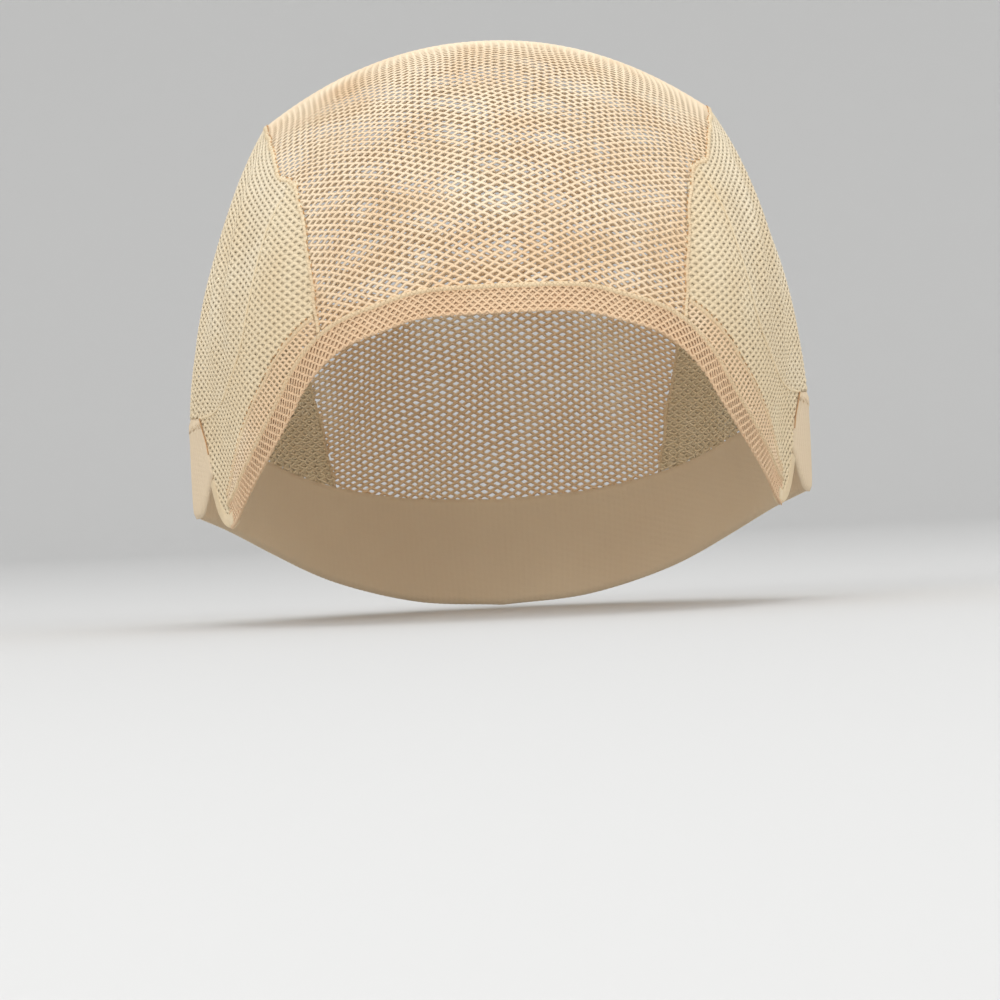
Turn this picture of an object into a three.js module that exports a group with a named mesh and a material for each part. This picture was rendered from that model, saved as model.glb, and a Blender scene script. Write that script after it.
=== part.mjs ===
// A net wig cap in the form that it has on a head: a crown panel from the front edge to the nape, a side panel
// and an ear tab on each side, raised seams between them, a folded front hem and an elastic band round the nape.
// Millimetres, +Z up, -Y to the front, +X to the wearer's left. The cap is worked out on the ear line, the axis
// along X through both ears, and is then moved down so that the inside of its top lies at the origin.
import * as THREE from "three";

// Sizes of the head form that the cap keeps, measured to the outside of the cloth
const crownHeight = 128.4; // ear line to the top of the crown
const sideReach = 77; // ear line out to the side, without the swell over the ear
const earSwell = 10.4; // how far the cloth stands out over each ear
const earSetBack = 16; // middle of the swell behind the ear line
const swellFrontRun = 15; // spread of the swell to the front, at the ear line
const swellBackRun = 20; // and to the back
const swellWidening = 16; // what both spreads gain on the way up
const wideningStart = 20; // height where they start to gain
const wideningRun = 60; // and how far up they go on
const swellTop = 100; // height where the swell has died away
const plumbSetBack = 8; // upright line that bearings are taken from, behind the ear line
const crownPanelReach = 62; // middle of the crown out to each seam, at the widest
const crownArch = 2.1; // power of the arc that the crown panel follows between its seams

// Heights of the edges above the ear line, and drops below it
const hairlineHeight = 50; // front edge in the middle
const tabDrop = 4.5; // tip of the ear tab
const napeDrop = 31; // back edge in the middle
const napeBandTop = 26.5; // top of the nape band beside the ears
const notchHeight = 7.5; // top of the notch between the ear tab and the nape band
const lobeDrop = 1.5; // bottom of the nape band's lobe behind the notch
const napeBandDepth = 31; // height of the nape band in the middle of the back
const lapTopHeight = 86; // where the doubled lap starts on the crown seam
const seamTuck = 3.4; // step of the crown seam where the cloth is tucked, over the temple

// Widths along the cloth
const hemWidth = 6; // folded front hem
const stitchWidth = 1.3; // stitched ridge along the top of the hem
const crownSeamWidth = 1.8;
const tabSeamWidth = 1.6;
const earHemWidth = 4;
const sideFrontWidth = 1.2; // blunt front end of the side panel, beside the crown seam

// Walls: how thick each piece is, and how far the raised ones stand out
const netWall = 1.2;
const lapWall = 1.6;
const hemWall = 1.8;
const elasticWall = 1.5;
const seamWall = 1.8;
const seamRise = 0.6;
const stitchRise = 0.4;
const elasticRise = 0.3;

const gap = 0.3; // between neighbours
const cornerRoom = 0.3; // more at the crown seams, where the walls meet at an angle
const tuckRoom = 0.25; // and more again beside the side panel, which bends round the tuck
const foldHeight = 1.6; // crest of the soft folds in the side panels

// Side view of the head form. angle: degrees round the ear line, from level at the front, up and over to the
// back. reach: share of crownHeight out to the cloth in the middle. fullness: power of the arch from side to
// side, 2 for an ellipse and more for a squarer one. panel: share of crownPanelReach out to the seam.
const fan = [
  { angle: -45, reach: 0.69, fullness: 2.2, panel: 0.8 },
  { angle: 0, reach: 0.745, fullness: 2.2, panel: 0.8 },
  { angle: 30, reach: 0.806, fullness: 2.3, panel: 0.8 },
  { angle: 50, reach: 0.911, fullness: 2.7, panel: 0.86 },
  { angle: 70, reach: 0.978, fullness: 3.2, panel: 0.95 },
  { angle: 90, reach: 1, fullness: 3.5, panel: 1 },
  { angle: 110, reach: 1.001, fullness: 3.4, panel: 1 },
  { angle: 130, reach: 0.973, fullness: 3, panel: 0.96 },
  { angle: 150, reach: 0.911, fullness: 2.6, panel: 0.9 },
  { angle: 170, reach: 0.822, fullness: 2.4, panel: 0.8 },
  { angle: 180, reach: 0.776, fullness: 2.3, panel: 0.76 },
  { angle: 190, reach: 0.732, fullness: 2.2, panel: 0.72 },
  { angle: 215, reach: 0.64, fullness: 2.2, panel: 0.7 },
];
const tuckAngle = 60; // fan angle of the tuck in the crown seam
const tuckRun = 7; // degrees that the step takes
const tuckFade = 22; // and that it takes to fade on both sides

// How the swell over the ear dies away upwards. height: share of swellTop. share: share of earSwell.
const swellByHeight = [
  { height: -0.5, share: 1 },
  { height: 0.2, share: 1 },
  { height: 0.35, share: 0.95 },
  { height: 0.47, share: 0.79 },
  { height: 0.59, share: 0.56 },
  { height: 0.71, share: 0.31 },
  { height: 0.83, share: 0.12 },
  { height: 0.95, share: 0.02 },
  { height: 1, share: 0 },
];

// Edge and seam lines on one side, with their rows evenly spaced along the line. bearing: degrees round the
// plumb line, from the middle of the front. The front edge falls from the hairline to the tab's tip, by a
// share of that whole fall.
const frontEdgeFall = [
  { bearing: 0, share: 0 },
  { bearing: 12, share: 0.008 },
  { bearing: 19, share: 0.06 },
  { bearing: 25.5, share: 0.122 },
  { bearing: 30, share: 0.206 },
  { bearing: 34.5, share: 0.33 },
  { bearing: 38, share: 0.46 },
  { bearing: 43, share: 0.606 },
  { bearing: 49.5, share: 0.752 },
  { bearing: 56, share: 0.86 },
  { bearing: 63, share: 0.95 },
  { bearing: 70, share: 1 },
];
// The tab seam runs from the crown seam to the tab's tip, as a share of the same fall.
const tabSeamFall = [
  { bearing: 32.3, share: -0.02 },
  { bearing: 38, share: 0.085 },
  { bearing: 42.5, share: 0.19 },
  { bearing: 46.5, share: 0.3 },
  { bearing: 54, share: 0.47 },
  { bearing: 62, share: 0.65 },
  { bearing: 68, share: 0.78 },
  { bearing: 71.8, share: 0.83 },
];
// Back line of the lap, from its top on the crown seam to the top of the nape band, as a share of that fall.
const lapBackFall = [
  { bearing: 43.5, share: 0.04 },
  { bearing: 46.3, share: 0.17 },
  { bearing: 48.5, share: 0.34 },
  { bearing: 51, share: 0.52 },
  { bearing: 54, share: 0.68 },
  { bearing: 59, share: 0.8 },
  { bearing: 67, share: 0.91 },
  { bearing: 76, share: 0.975 },
  { bearing: 85.5, share: 1 },
];
// The tab's back edge climbs from its tip to the notch, by a share of that climb.
const tabBackClimb = [
  { bearing: 70, share: 0 },
  { bearing: 74.5, share: 0.06 },
  { bearing: 78, share: 0.27 },
  { bearing: 80.5, share: 0.6 },
  { bearing: 82.5, share: 1 },
];
// Lower edge of the nape band from the notch, round its lobe and on to the middle of the back, as a share of
// the fall from the lobe to there.
const napeEdgeFall = [
  { bearing: 80.9, share: -0.42 },
  { bearing: 83, share: -0.31 },
  { bearing: 85, share: -0.17 },
  { bearing: 87.4, share: -0.04 },
  { bearing: 91, share: 0 },
  { bearing: 98, share: 0 },
  { bearing: 109, share: 0.12 },
  { bearing: 124, share: 0.38 },
  { bearing: 142, share: 0.7 },
  { bearing: 161, share: 0.93 },
  { bearing: 180, share: 1 },
];
// Top line of the nape band from beside the ear to the middle of the back, as a share of its fall.
const napeTopFall = [
  { bearing: 85.5, share: 0 },
  { bearing: 88, share: 0 },
  { bearing: 91.5, share: 0 },
  { bearing: 96.5, share: 0.01 },
  { bearing: 103.5, share: 0.06 },
  { bearing: 113, share: 0.18 },
  { bearing: 127, share: 0.42 },
  { bearing: 144, share: 0.72 },
  { bearing: 161.5, share: 0.93 },
  { bearing: 180, share: 1 },
];
// Soft folds of each side panel: where the crest lies, and its half width, in degrees of bearing.
const sideFolds = [
  { bearing: 60, spread: 3.4, share: 0.9 },
  { bearing: 72, spread: 3.6, share: 1 },
  { bearing: 86, spread: 4.2, share: 0.7 },
  { bearing: 118, spread: 5, share: 0.6 },
];

// What each piece leaves free of its line for its neighbours, as shares of the line at its start and its end
const trims = {
  frontHem: [0.002, 0.002],
  napeBand: [0.001, 0.001],
  crownSeam: [0.004, 0.003],
  earTab: [0.04, 0.05],
  tabSeam: [0.03, 0.06],
  earHem: [0.045, 0.005],
};
// Corners of the side panel and of the lap, as shares of their columns, where one edge line gives way to the next
const sideCorners = { lapBack: 0.04, napeBand: 0.36 };
const lapCorners = { tabSeam: 0.35, tip: 0.8, earHem: 0.85 };
const tipCorner = 0.085; // place on the lap's foot, beside the tab's tip

const degree = Math.PI / 180;
const halvings = 26; // of a search, which leave under a thousandth of a millimetre
const spotStep = 0.5; // degrees of bearing or fan angle, and millimetres of height, that a normal is taken over
const shareStep = 0.01; // the same for a share of the crown panel
const lineStep = 0.001; // share of a line that its direction is taken over
const { clamp, lerp } = THREE.MathUtils;

// A smooth curve through values at rising places, as a function that stays level past both ends.
function curveThrough(places, values) {
  const last = places.length - 1;
  const slopes = values.map((_, k) => {
    const before = Math.max(k - 1, 0);
    const after = Math.min(k + 1, last);
    return (values[after] - values[before]) / (places[after] - places[before]);
  });
  return (place) => {
    if (place <= places[0]) return values[0];
    if (place >= places[last]) return values[last];
    let i = 0;
    while (places[i + 1] <= place) i += 1;
    const span = places[i + 1] - places[i];
    const t = (place - places[i]) / span;
    const t2 = t * t;
    const t3 = t2 * t;
    const startPart = (2 * t3 - 3 * t2 + 1) * values[i] + (t3 - 2 * t2 + t) * slopes[i] * span;
    const endPart = (3 * t2 - 2 * t3) * values[i + 1] + (t3 - t2) * slopes[i + 1] * span;
    return startPart + endPart;
  };
}
const columnOf = (rows, name) => rows.map((row) => row[name]);

// The head form, read at a fan angle round the ear line
const fanAngles = columnOf(fan, "angle");
const reachShare = curveThrough(fanAngles, columnOf(fan, "reach"));
const fullness = curveThrough(fanAngles, columnOf(fan, "fullness"));
const panelShare = curveThrough(fanAngles, columnOf(fan, "panel"));
const swellShare = curveThrough(columnOf(swellByHeight, "height"), columnOf(swellByHeight, "share"));
const middleReach = (angle) => crownHeight * reachShare(angle);

// Half width of the crown panel at a fan angle, with the step of the tuck.
function seamReach(angle) {
  const past = THREE.MathUtils.smoothstep((angle - tuckAngle) / tuckRun + 0.5, 0, 1);
  const nearness = Math.exp(-(((angle - tuckAngle) / tuckFade) ** 2));
  return crownPanelReach * panelShare(angle) + seamTuck * (past - 0.5) * nearness;
}

// How far from the ear line the arch from side to side lies, at a fan angle and a reach out from the middle.
function archReach(angle, out) {
  const power = fullness(angle);
  const left = 1 - clamp(out / sideReach, 0, 1) ** power;
  return middleReach(angle) * left ** (1 / power);
}

// The crown panel bridges the arch between its seams with a flatter arc.
function panelReach(angle, share) {
  const middle = middleReach(angle);
  const edge = archReach(angle, seamReach(angle));
  return middle - (middle - edge) * Math.abs(share) ** crownArch;
}

function crownPoint(angle, share) {
  const reach = panelReach(angle, share);
  const turn = angle * degree;
  return new THREE.Vector3(seamReach(angle) * share, -reach * Math.cos(turn), reach * Math.sin(turn));
}

// Swell of the cloth over the ear, outwards.
function swell(y, z) {
  const spreadGain = swellWidening * clamp((z - wideningStart) / wideningRun, 0, 1);
  const behind = y - earSetBack;
  const spread = (behind < 0 ? swellFrontRun : swellBackRun) + spreadGain;
  return earSwell * swellShare(z / swellTop) * Math.exp(-0.5 * (behind / spread) ** 2);
}

// True where a point lies inside the form. With panelled the crown panel's flatter arc counts, and else the
// arch runs on past the seam.
function isInside(x, y, z, panelled) {
  const turned = Math.atan2(z, -y) / degree;
  const angle = turned < -90 ? turned + 360 : turned;
  const out = Math.max(Math.abs(x) - swell(y, z), 0);
  const reach = Math.hypot(y, z);
  const seam = seamReach(angle);
  if (panelled && out < seam) return reach < panelReach(angle, out / seam);
  return reach < archReach(angle, out);
}

// The point of the form at a bearing and a height, found by halving along a level line from the plumb line.
function formPoint(bearing, height, panelled = true) {
  const turn = bearing * degree;
  let inside = 0;
  let outside = 2 * crownHeight;
  for (let step = 0; step < halvings; step += 1) {
    const middle = (inside + outside) / 2;
    const x = middle * Math.sin(turn);
    const y = plumbSetBack - middle * Math.cos(turn);
    if (isInside(x, y, height, panelled)) inside = middle;
    else outside = middle;
  }
  return new THREE.Vector3(inside * Math.sin(turn), plumbSetBack - inside * Math.cos(turn), height);
}

// Bearing and height of a point, and its fan angle and share of the crown panel.
const bearingOf = (point) => Math.atan2(point.x, plumbSetBack - point.y) / degree;
const fanAngleOf = (point) => {
  const turned = Math.atan2(point.z, -point.y) / degree;
  return turned < -90 ? turned + 360 : turned;
};

// Lines on the form, each a function from 0 to 1 along the line to { bearing, height }
function lineOf(rows, startHeight, endHeight) {
  const places = rows.map((_, i) => i / (rows.length - 1));
  const bearingAt = curveThrough(places, columnOf(rows, "bearing"));
  const shareAt = curveThrough(places, columnOf(rows, "share"));
  return (t) => ({ bearing: bearingAt(t), height: lerp(startHeight, endHeight, shareAt(t)) });
}
const frontEdge = lineOf(frontEdgeFall, hairlineHeight, -tabDrop);
const tabSeam = lineOf(tabSeamFall, hairlineHeight, -tabDrop);
const lapBack = lineOf(lapBackFall, lapTopHeight, napeBandTop);
const tabBack = lineOf(tabBackClimb, -tabDrop, notchHeight);
const napeEdge = lineOf(napeEdgeFall, -lobeDrop, -napeDrop);
const napeTop = lineOf(napeTopFall, napeBandTop, napeBandDepth - napeDrop);

const placeOn = ({ bearing, height }) => formPoint(bearing, height);

// Outward normal of the form where a surface function of two numbers meets it.
function normalOf(surface, a, b, stepA, stepB) {
  const alongA = surface(a + stepA, b).sub(surface(a - stepA, b));
  const alongB = surface(a, b + stepB).sub(surface(a, b - stepB));
  const normal = alongA.cross(alongB).normalize();
  const outward = surface(a, b).sub(new THREE.Vector3(0, plumbSetBack, 0));
  return normal.dot(outward) < 0 ? normal.negate() : normal;
}
const formNormal = (bearing, height, panelled) =>
  normalOf((a, b) => formPoint(a, b, panelled), bearing, height, spotStep, spotStep);

// A line moved sideways along the cloth. A positive width moves it to the left, for one who walks along it on
// the outside of the cap.
function beside(line, width) {
  return (t) => {
    const here = line(t);
    const point = placeOn(here);
    const ahead = placeOn(line(Math.min(t + lineStep, 1)));
    const back = placeOn(line(Math.max(t - lineStep, 0)));
    const sideways = formNormal(here.bearing, here.height).cross(ahead.sub(back)).normalize();
    const moved = point.addScaledVector(sideways, width);
    return { bearing: bearingOf(moved), height: moved.z };
  };
}

// A closed wall between an outer skin, point by point, and an inner one. skin(column, row) gives the outer point
// and the normal, and raise and wall say how far out it starts and how thick it is.
function wallGeometry(columns, rows, skin, wall, raise) {
  const outer = [];
  const inner = [];
  for (let column = 0; column <= columns; column += 1) {
    for (let row = 0; row <= rows; row += 1) {
      const { point, normal } = skin(column / columns, row / rows);
      outer.push(point.clone().addScaledVector(normal, raise));
      inner.push(point.clone().addScaledVector(normal, raise - wall));
    }
  }
  const indexOf = (column, row) => column * (rows + 1) + row;
  const faces = [];
  const under = outer.length;
  const addQuad = (a, b, c, d) => faces.push([a, b, c], [a, c, d]);
  for (let column = 0; column < columns; column += 1) {
    for (let row = 0; row < rows; row += 1) {
      const corners = [
        indexOf(column, row),
        indexOf(column + 1, row),
        indexOf(column + 1, row + 1),
        indexOf(column, row + 1),
      ];
      addQuad(...corners);
      addQuad(...corners.map((corner) => corner + under).reverse());
    }
  }
  const rim = [];
  for (let column = 0; column < columns; column += 1) rim.push(indexOf(column, 0));
  for (let row = 0; row < rows; row += 1) rim.push(indexOf(columns, row));
  for (let column = columns; column > 0; column -= 1) rim.push(indexOf(column, rows));
  for (let row = rows; row > 0; row -= 1) rim.push(indexOf(0, row));
  rim.forEach((corner, i) => {
    const next = rim[(i + 1) % rim.length];
    addQuad(next, corner, corner + under, next + under);
  });
  const points = [...outer, ...inner];
  const volume = faces.reduce((sum, [a, b, c]) => {
    return sum + points[a].dot(points[b].clone().cross(points[c])) / 6;
  }, 0);
  const outFacing = volume < 0 ? faces.map(([a, b, c]) => [a, c, b]) : faces;
  const geometry = new THREE.BufferGeometry().setFromPoints(points);
  geometry.setIndex(outFacing.flat());
  geometry.computeVertexNormals();
  return geometry;
}

// A wall on the form between two lines of bearings and heights. ends trims shares of their length, and lift
// says how far the wall stands off the form at a place.
function stripGeometry(options) {
  const { from, to, columns, rows, wall, raise = 0, ends = [0, 0] } = options;
  const { panelled = true, lift = () => 0, side = 1 } = options;
  const mirror = new THREE.Vector3(side, 1, 1);
  const skin = (t, s) => {
    const along = lerp(ends[0], 1 - ends[1], t);
    const start = from(along);
    const finish = to(along);
    const bearing = lerp(start.bearing, finish.bearing, s);
    const height = lerp(start.height, finish.height, s);
    const normal = formNormal(bearing, height, panelled);
    const point = formPoint(bearing, height, panelled).addScaledVector(normal, lift(bearing, s));
    return { point: point.multiply(mirror), normal: normal.multiply(mirror) };
  };
  return wallGeometry(columns, rows, skin, wall, raise);
}

// A front line run on to the other side, from the mirror image of its far end to its own.
const bothSides = (line) => (t) => {
  const half = line(Math.abs(2 * t - 1));
  return { bearing: half.bearing * (t < 0.5 ? -1 : 1), height: half.height };
};
// The same for a back line, which meets its mirror image at its far end.
const roundTheBack = (line) => (t) => {
  const half = line(1 - Math.abs(2 * t - 1));
  return { bearing: t < 0.5 ? half.bearing : 360 - half.bearing, height: half.height };
};
// Part of a line, from one place on it to another.
const stretch = (line, start, finish) => (t) => line(lerp(start, finish, t));
// Lines joined end to end. Each leg names its line and the place along the whole where it ends.
const joined = (legs) => (t) => {
  const i = legs.findIndex((leg) => t <= leg.until);
  const start = i > 0 ? legs[i - 1].until : 0;
  return legs[i].line((t - start) / (legs[i].until - start));
};
const straight = (start, finish) => (t) => ({
  bearing: lerp(start.bearing, finish.bearing, t),
  height: lerp(start.height, finish.height, t),
});

const seamClear = crownSeamWidth / 2 + gap + cornerRoom;

// From the front edge inwards: the hem, the stitched ridge and then the net
const stitchStart = hemWidth + gap;
const stitchEnd = stitchStart + stitchWidth;
const hemTop = beside(frontEdge, hemWidth);
const netEdge = beside(frontEdge, stitchEnd + gap);
const earHemTop = beside(tabBack, earHemWidth);
const lapFoot = beside(tabBack, earHemWidth + gap);

// Place along a line, by halving, where a test turns from true to false.
function placeWhere(line, isBefore) {
  let near = 0;
  let far = 1;
  for (let step = 0; step < halvings; step += 1) {
    const middle = (near + far) / 2;
    if (isBefore(line(middle))) near = middle;
    else far = middle;
  }
  return near;
}
const shareAt = (spot) => {
  const point = placeOn(spot);
  return point.x / seamReach(fanAngleOf(point));
};
// Fan angles of the crown panel's front edge, on the hem, and of its back edge, on the nape band.
const frontOfPanel = (share) => {
  const place = placeWhere(netEdge, (spot) => shareAt(spot) < Math.abs(share));
  return fanAngleOf(placeOn(netEdge(place)));
};
const backOfPanel = (share) => {
  const place = placeWhere(napeTop, (spot) => shareAt(spot) > Math.abs(share));
  return fanAngleOf(placeOn(napeTop(place)));
};

// The crown seam from the hem to the nape band.
const crownSeam = (t) => {
  const point = crownPoint(lerp(frontOfSeam, backOfSeam, t), 1);
  return { bearing: bearingOf(point), height: point.z };
};
const frontOfSeam = frontOfPanel(1);
const backOfSeam = backOfPanel(1);
const hemAtSeam = placeWhere(netEdge, (spot) => shareAt(spot) < 1);
const napeAtSeam = placeWhere(napeTop, (spot) => shareAt(spot) > 1);
const tabSeamHead = tabSeam(0).height + tabSeamWidth;
const seamAboveTab = placeWhere(crownSeam, (spot) => spot.height < tabSeamHead);
const seamAtLap = placeWhere(crownSeam, (spot) => spot.height < lapTopHeight);

// The crown panel as a wall over its own fan angles and shares.
function crownPanelGeometry(columns, rows) {
  const strips = Array.from({ length: rows + 1 }, (_, row) => {
    const share = lerp(-1, 1, row / rows);
    const front = frontOfPanel(share * (1 - seamClear / seamReach(frontOfSeam)));
    const back = backOfPanel(share * (1 - seamClear / seamReach(backOfSeam)));
    return { share, front, back: back - gap / crownHeight / degree };
  });
  const skin = (t, s) => {
    const strip = strips[Math.round(s * rows)];
    const angle = lerp(strip.front, strip.back, t);
    const share = strip.share * (1 - seamClear / seamReach(angle));
    return { point: crownPoint(angle, share), normal: normalOf(crownPoint, angle, share, spotStep, shareStep) };
  };
  return wallGeometry(columns, rows, skin, netWall, 0);
}

// Soft folds of the side panel, which die away towards its edges.
const foldLift = (bearing, s) => {
  const crests = sideFolds.map((fold) => {
    const away = (bearing - fold.bearing) / fold.spread;
    return fold.share * Math.exp(-(away ** 2));
  });
  return foldHeight * crests.reduce((sum, crest) => sum + crest, 0) * Math.sin(Math.PI * s);
};

const capGroup = new THREE.Group();
capGroup.position.z = netWall - crownHeight;

function addPiece(name, geometry, finish) {
  const mesh = new THREE.Mesh(geometry, new THREE.MeshStandardMaterial(finish));
  mesh.name = name;
  capGroup.add(mesh);
}

const netFinish = { color: 0xe6cba6, roughness: 0.85, metalness: 0 };
const sideNetFinish = { color: 0xe1cfac, roughness: 0.85, metalness: 0 };
const lapFinish = { color: 0xe0c7a2, roughness: 0.85, metalness: 0 };
const hemFinish = { color: 0xe0bd99, roughness: 0.8, metalness: 0 };
const seamFinish = { color: 0xefd9b6, roughness: 0.7, metalness: 0 };
const elasticFinish = { color: 0xdfcaab, roughness: 0.75, metalness: 0 };

addPiece("crown_panel", crownPanelGeometry(34, 24), netFinish);
addPiece(
  "front_hem",
  stripGeometry({
    from: bothSides(frontEdge), to: bothSides(hemTop), columns: 64, rows: 2, wall: hemWall,
    ends: trims.frontHem,
  }),
  hemFinish,
);
addPiece(
  "hem_stitching",
  stripGeometry({
    from: bothSides(beside(frontEdge, stitchStart)), to: bothSides(beside(frontEdge, stitchEnd)),
    columns: 64, rows: 1, wall: hemWall, raise: stitchRise, ends: trims.frontHem,
  }),
  seamFinish,
);
addPiece(
  "nape_band",
  stripGeometry({
    from: roundTheBack(napeEdge), to: roundTheBack(beside(napeTop, -gap)), columns: 60, rows: 3,
    wall: elasticWall, raise: elasticRise, ends: trims.napeBand,
  }),
  elasticFinish,
);

// Lines beside the seams, where the cloth of each panel starts
const besideCrownSeam = beside(crownSeam, -seamClear);
const sideHead = beside(crownSeam, -seamClear - tuckRoom);
const tabSideOfSeam = beside(tabSeam, -tabSeamWidth / 2 - gap);
const lapSideOfSeam = beside(tabSeam, tabSeamWidth / 2 + gap);
const besideLap = beside(lapBack, gap);
// The side panel runs along the crown seam from just above the lap to just above the nape band, and has a short
// blunt end at the front
const sideStart = seamAtLap + 0.006;
const sideEnd = 0.985;
const napeEnd = napeAtSeam - 0.01;
const sideFront = beside(crownSeam, -seamClear - tuckRoom - sideFrontWidth);

const sides = [
  { side: 1, label: "left" },
  { side: -1, label: "right" },
];
sides.forEach(({ side, label }) => {
  addPiece(
    `crown_seam_${label}`,
    stripGeometry({
      from: beside(crownSeam, -crownSeamWidth / 2), to: beside(crownSeam, crownSeamWidth / 2), columns: 56,
      rows: 1, wall: seamWall, raise: seamRise, ends: trims.crownSeam, side,
    }),
    seamFinish,
  );
  addPiece(
    `side_panel_${label}`,
    stripGeometry({
      from: joined([
        { until: sideCorners.lapBack, line: straight(sideFront(sideStart), besideLap(0)) },
        { until: sideCorners.napeBand, line: besideLap },
        { until: 1, line: stretch(napeTop, 0, napeEnd) },
      ]),
      to: stretch(sideHead, sideStart, sideEnd), columns: 25, rows: 12, wall: netWall,
      panelled: false, lift: foldLift, side,
    }),
    sideNetFinish,
  );
  addPiece(
    `ear_tab_${label}`,
    stripGeometry({
      from: stretch(netEdge, hemAtSeam, 1), to: tabSideOfSeam, columns: 18, rows: 3, wall: netWall,
      panelled: false, ends: trims.earTab, side,
    }),
    netFinish,
  );
  addPiece(
    `tab_seam_${label}`,
    stripGeometry({
      from: beside(tabSeam, -tabSeamWidth / 2), to: beside(tabSeam, tabSeamWidth / 2), columns: 22, rows: 1,
      wall: seamWall, raise: seamRise, panelled: false, ends: trims.tabSeam, side,
    }),
    seamFinish,
  );
  addPiece(
    `lap_panel_${label}`,
    stripGeometry({
      from: joined([
        { until: lapCorners.tabSeam, line: stretch(besideCrownSeam, seamAtLap, seamAboveTab) },
        { until: lapCorners.tip, line: stretch(lapSideOfSeam, trims.tabSeam[0], 1) },
        { until: lapCorners.earHem, line: straight(lapSideOfSeam(1), lapFoot(tipCorner)) },
        { until: 1, line: stretch(lapFoot, tipCorner, 0.98) },
      ]),
      to: stretch(lapBack, 0, 0.993), columns: 20, rows: 4, wall: lapWall, panelled: false, side,
    }),
    lapFinish,
  );
  addPiece(
    `ear_hem_${label}`,
    stripGeometry({
      from: tabBack, to: earHemTop, columns: 8, rows: 1, wall: hemWall, panelled: false,
      ends: trims.earHem, side,
    }),
    elasticFinish,
  );
});

export default capGroup;
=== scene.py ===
"""A net wig cap, knitted strand by strand, with stitched seams, hems and an elastic nape band.

The classes work in millimetres from the middle of the ear line, with +Z up, -Y to the front and +X to the
wearer's left. Finished meshes are moved into the row frame, in metres, whose origin is the inside of the top
of the crown.
"""

import logging
import math
from dataclasses import dataclass, field
from enum import Enum

import bpy
import numpy as np
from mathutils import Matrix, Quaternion, Vector

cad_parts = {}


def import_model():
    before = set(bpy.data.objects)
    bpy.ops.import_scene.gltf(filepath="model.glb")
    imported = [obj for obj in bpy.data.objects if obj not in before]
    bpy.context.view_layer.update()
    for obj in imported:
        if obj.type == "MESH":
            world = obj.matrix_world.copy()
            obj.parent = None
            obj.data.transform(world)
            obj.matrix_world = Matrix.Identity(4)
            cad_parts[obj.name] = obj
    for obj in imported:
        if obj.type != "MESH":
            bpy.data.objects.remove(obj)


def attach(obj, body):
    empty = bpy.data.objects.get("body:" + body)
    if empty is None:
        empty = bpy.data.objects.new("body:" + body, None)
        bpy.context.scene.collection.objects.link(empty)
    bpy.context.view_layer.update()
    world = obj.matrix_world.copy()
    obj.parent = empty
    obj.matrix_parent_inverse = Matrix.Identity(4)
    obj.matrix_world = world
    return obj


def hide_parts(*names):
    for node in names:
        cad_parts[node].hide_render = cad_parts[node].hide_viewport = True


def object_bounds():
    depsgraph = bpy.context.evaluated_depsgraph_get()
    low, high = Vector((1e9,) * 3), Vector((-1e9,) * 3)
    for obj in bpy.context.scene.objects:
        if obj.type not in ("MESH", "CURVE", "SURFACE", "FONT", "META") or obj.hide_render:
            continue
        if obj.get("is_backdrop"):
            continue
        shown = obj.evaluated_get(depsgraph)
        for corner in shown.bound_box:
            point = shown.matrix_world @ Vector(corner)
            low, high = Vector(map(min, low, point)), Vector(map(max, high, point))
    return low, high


LOG = logging.getLogger("wig_cap")
METRES = 0.001
SHORTEST = 1e-9
EAR_LINE_TO_ORIGIN = 127.2
Array = np.ndarray
Rows = tuple[tuple[float, float], ...]


class Side(Enum):
    """The two sides of the cap, as the wearer has them."""

    LEFT = 1
    RIGHT = -1

    @property
    def label(self) -> str:
        """The side's name as the solids spell it."""
        return self.name.lower()

    @property
    def flip(self) -> Array:
        """What points of the left side are multiplied by to lie on this side."""
        return np.array([float(self.value), 1.0, 1.0])


def smooth_curve(places: Array, values: Array, at: Array) -> Array:
    """Reads a smooth curve through values at rising places, level past both ends.

    Args:
        places: rising places of the given values.
        values: the values there.
        at: places to read.

    Returns:
        The curve's values at those places.
    """
    x, v = np.asarray(places, float), np.asarray(values, float)
    k = np.arange(len(x))
    before, after = np.maximum(k - 1, 0), np.minimum(k + 1, len(x) - 1)
    slopes = (v[after] - v[before]) / (x[after] - x[before])
    p = np.clip(at, x[0], x[-1])
    i = np.clip(np.searchsorted(x, p, side="right") - 1, 0, len(x) - 2)
    span = x[i + 1] - x[i]
    t = (p - x[i]) / span
    start = (2 * t**3 - 3 * t**2 + 1) * v[i] + (t**3 - 2 * t**2 + t) * slopes[i] * span
    end = (3 * t**2 - 2 * t**3) * v[i + 1] + (t**3 - t**2) * slopes[i + 1] * span
    return start + end


def unit(vectors: Array) -> Array:
    """Vectors scaled to a length of one."""
    return vectors / np.maximum(np.linalg.norm(vectors, axis=-1, keepdims=True), SHORTEST)


def run_lengths(points: Array) -> Array:
    """Distance from the first of a row of points to each one, along the row."""
    steps = np.linalg.norm(np.diff(points, axis=0), axis=-1)
    return np.concatenate([[0.0], np.cumsum(steps)])


def read_along(line: Array, places: Array, at: Array) -> Array:
    """A line of several columns, given at rising places, read straight between them at other places."""
    return np.stack([np.interp(at, places, column) for column in line.T], axis=-1)


def resampled(line: Array, count: int) -> Array:
    """A line of several columns read again at evenly spaced places."""
    return read_along(line, np.linspace(0, 1, len(line)), np.linspace(0, 1, count))


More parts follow.
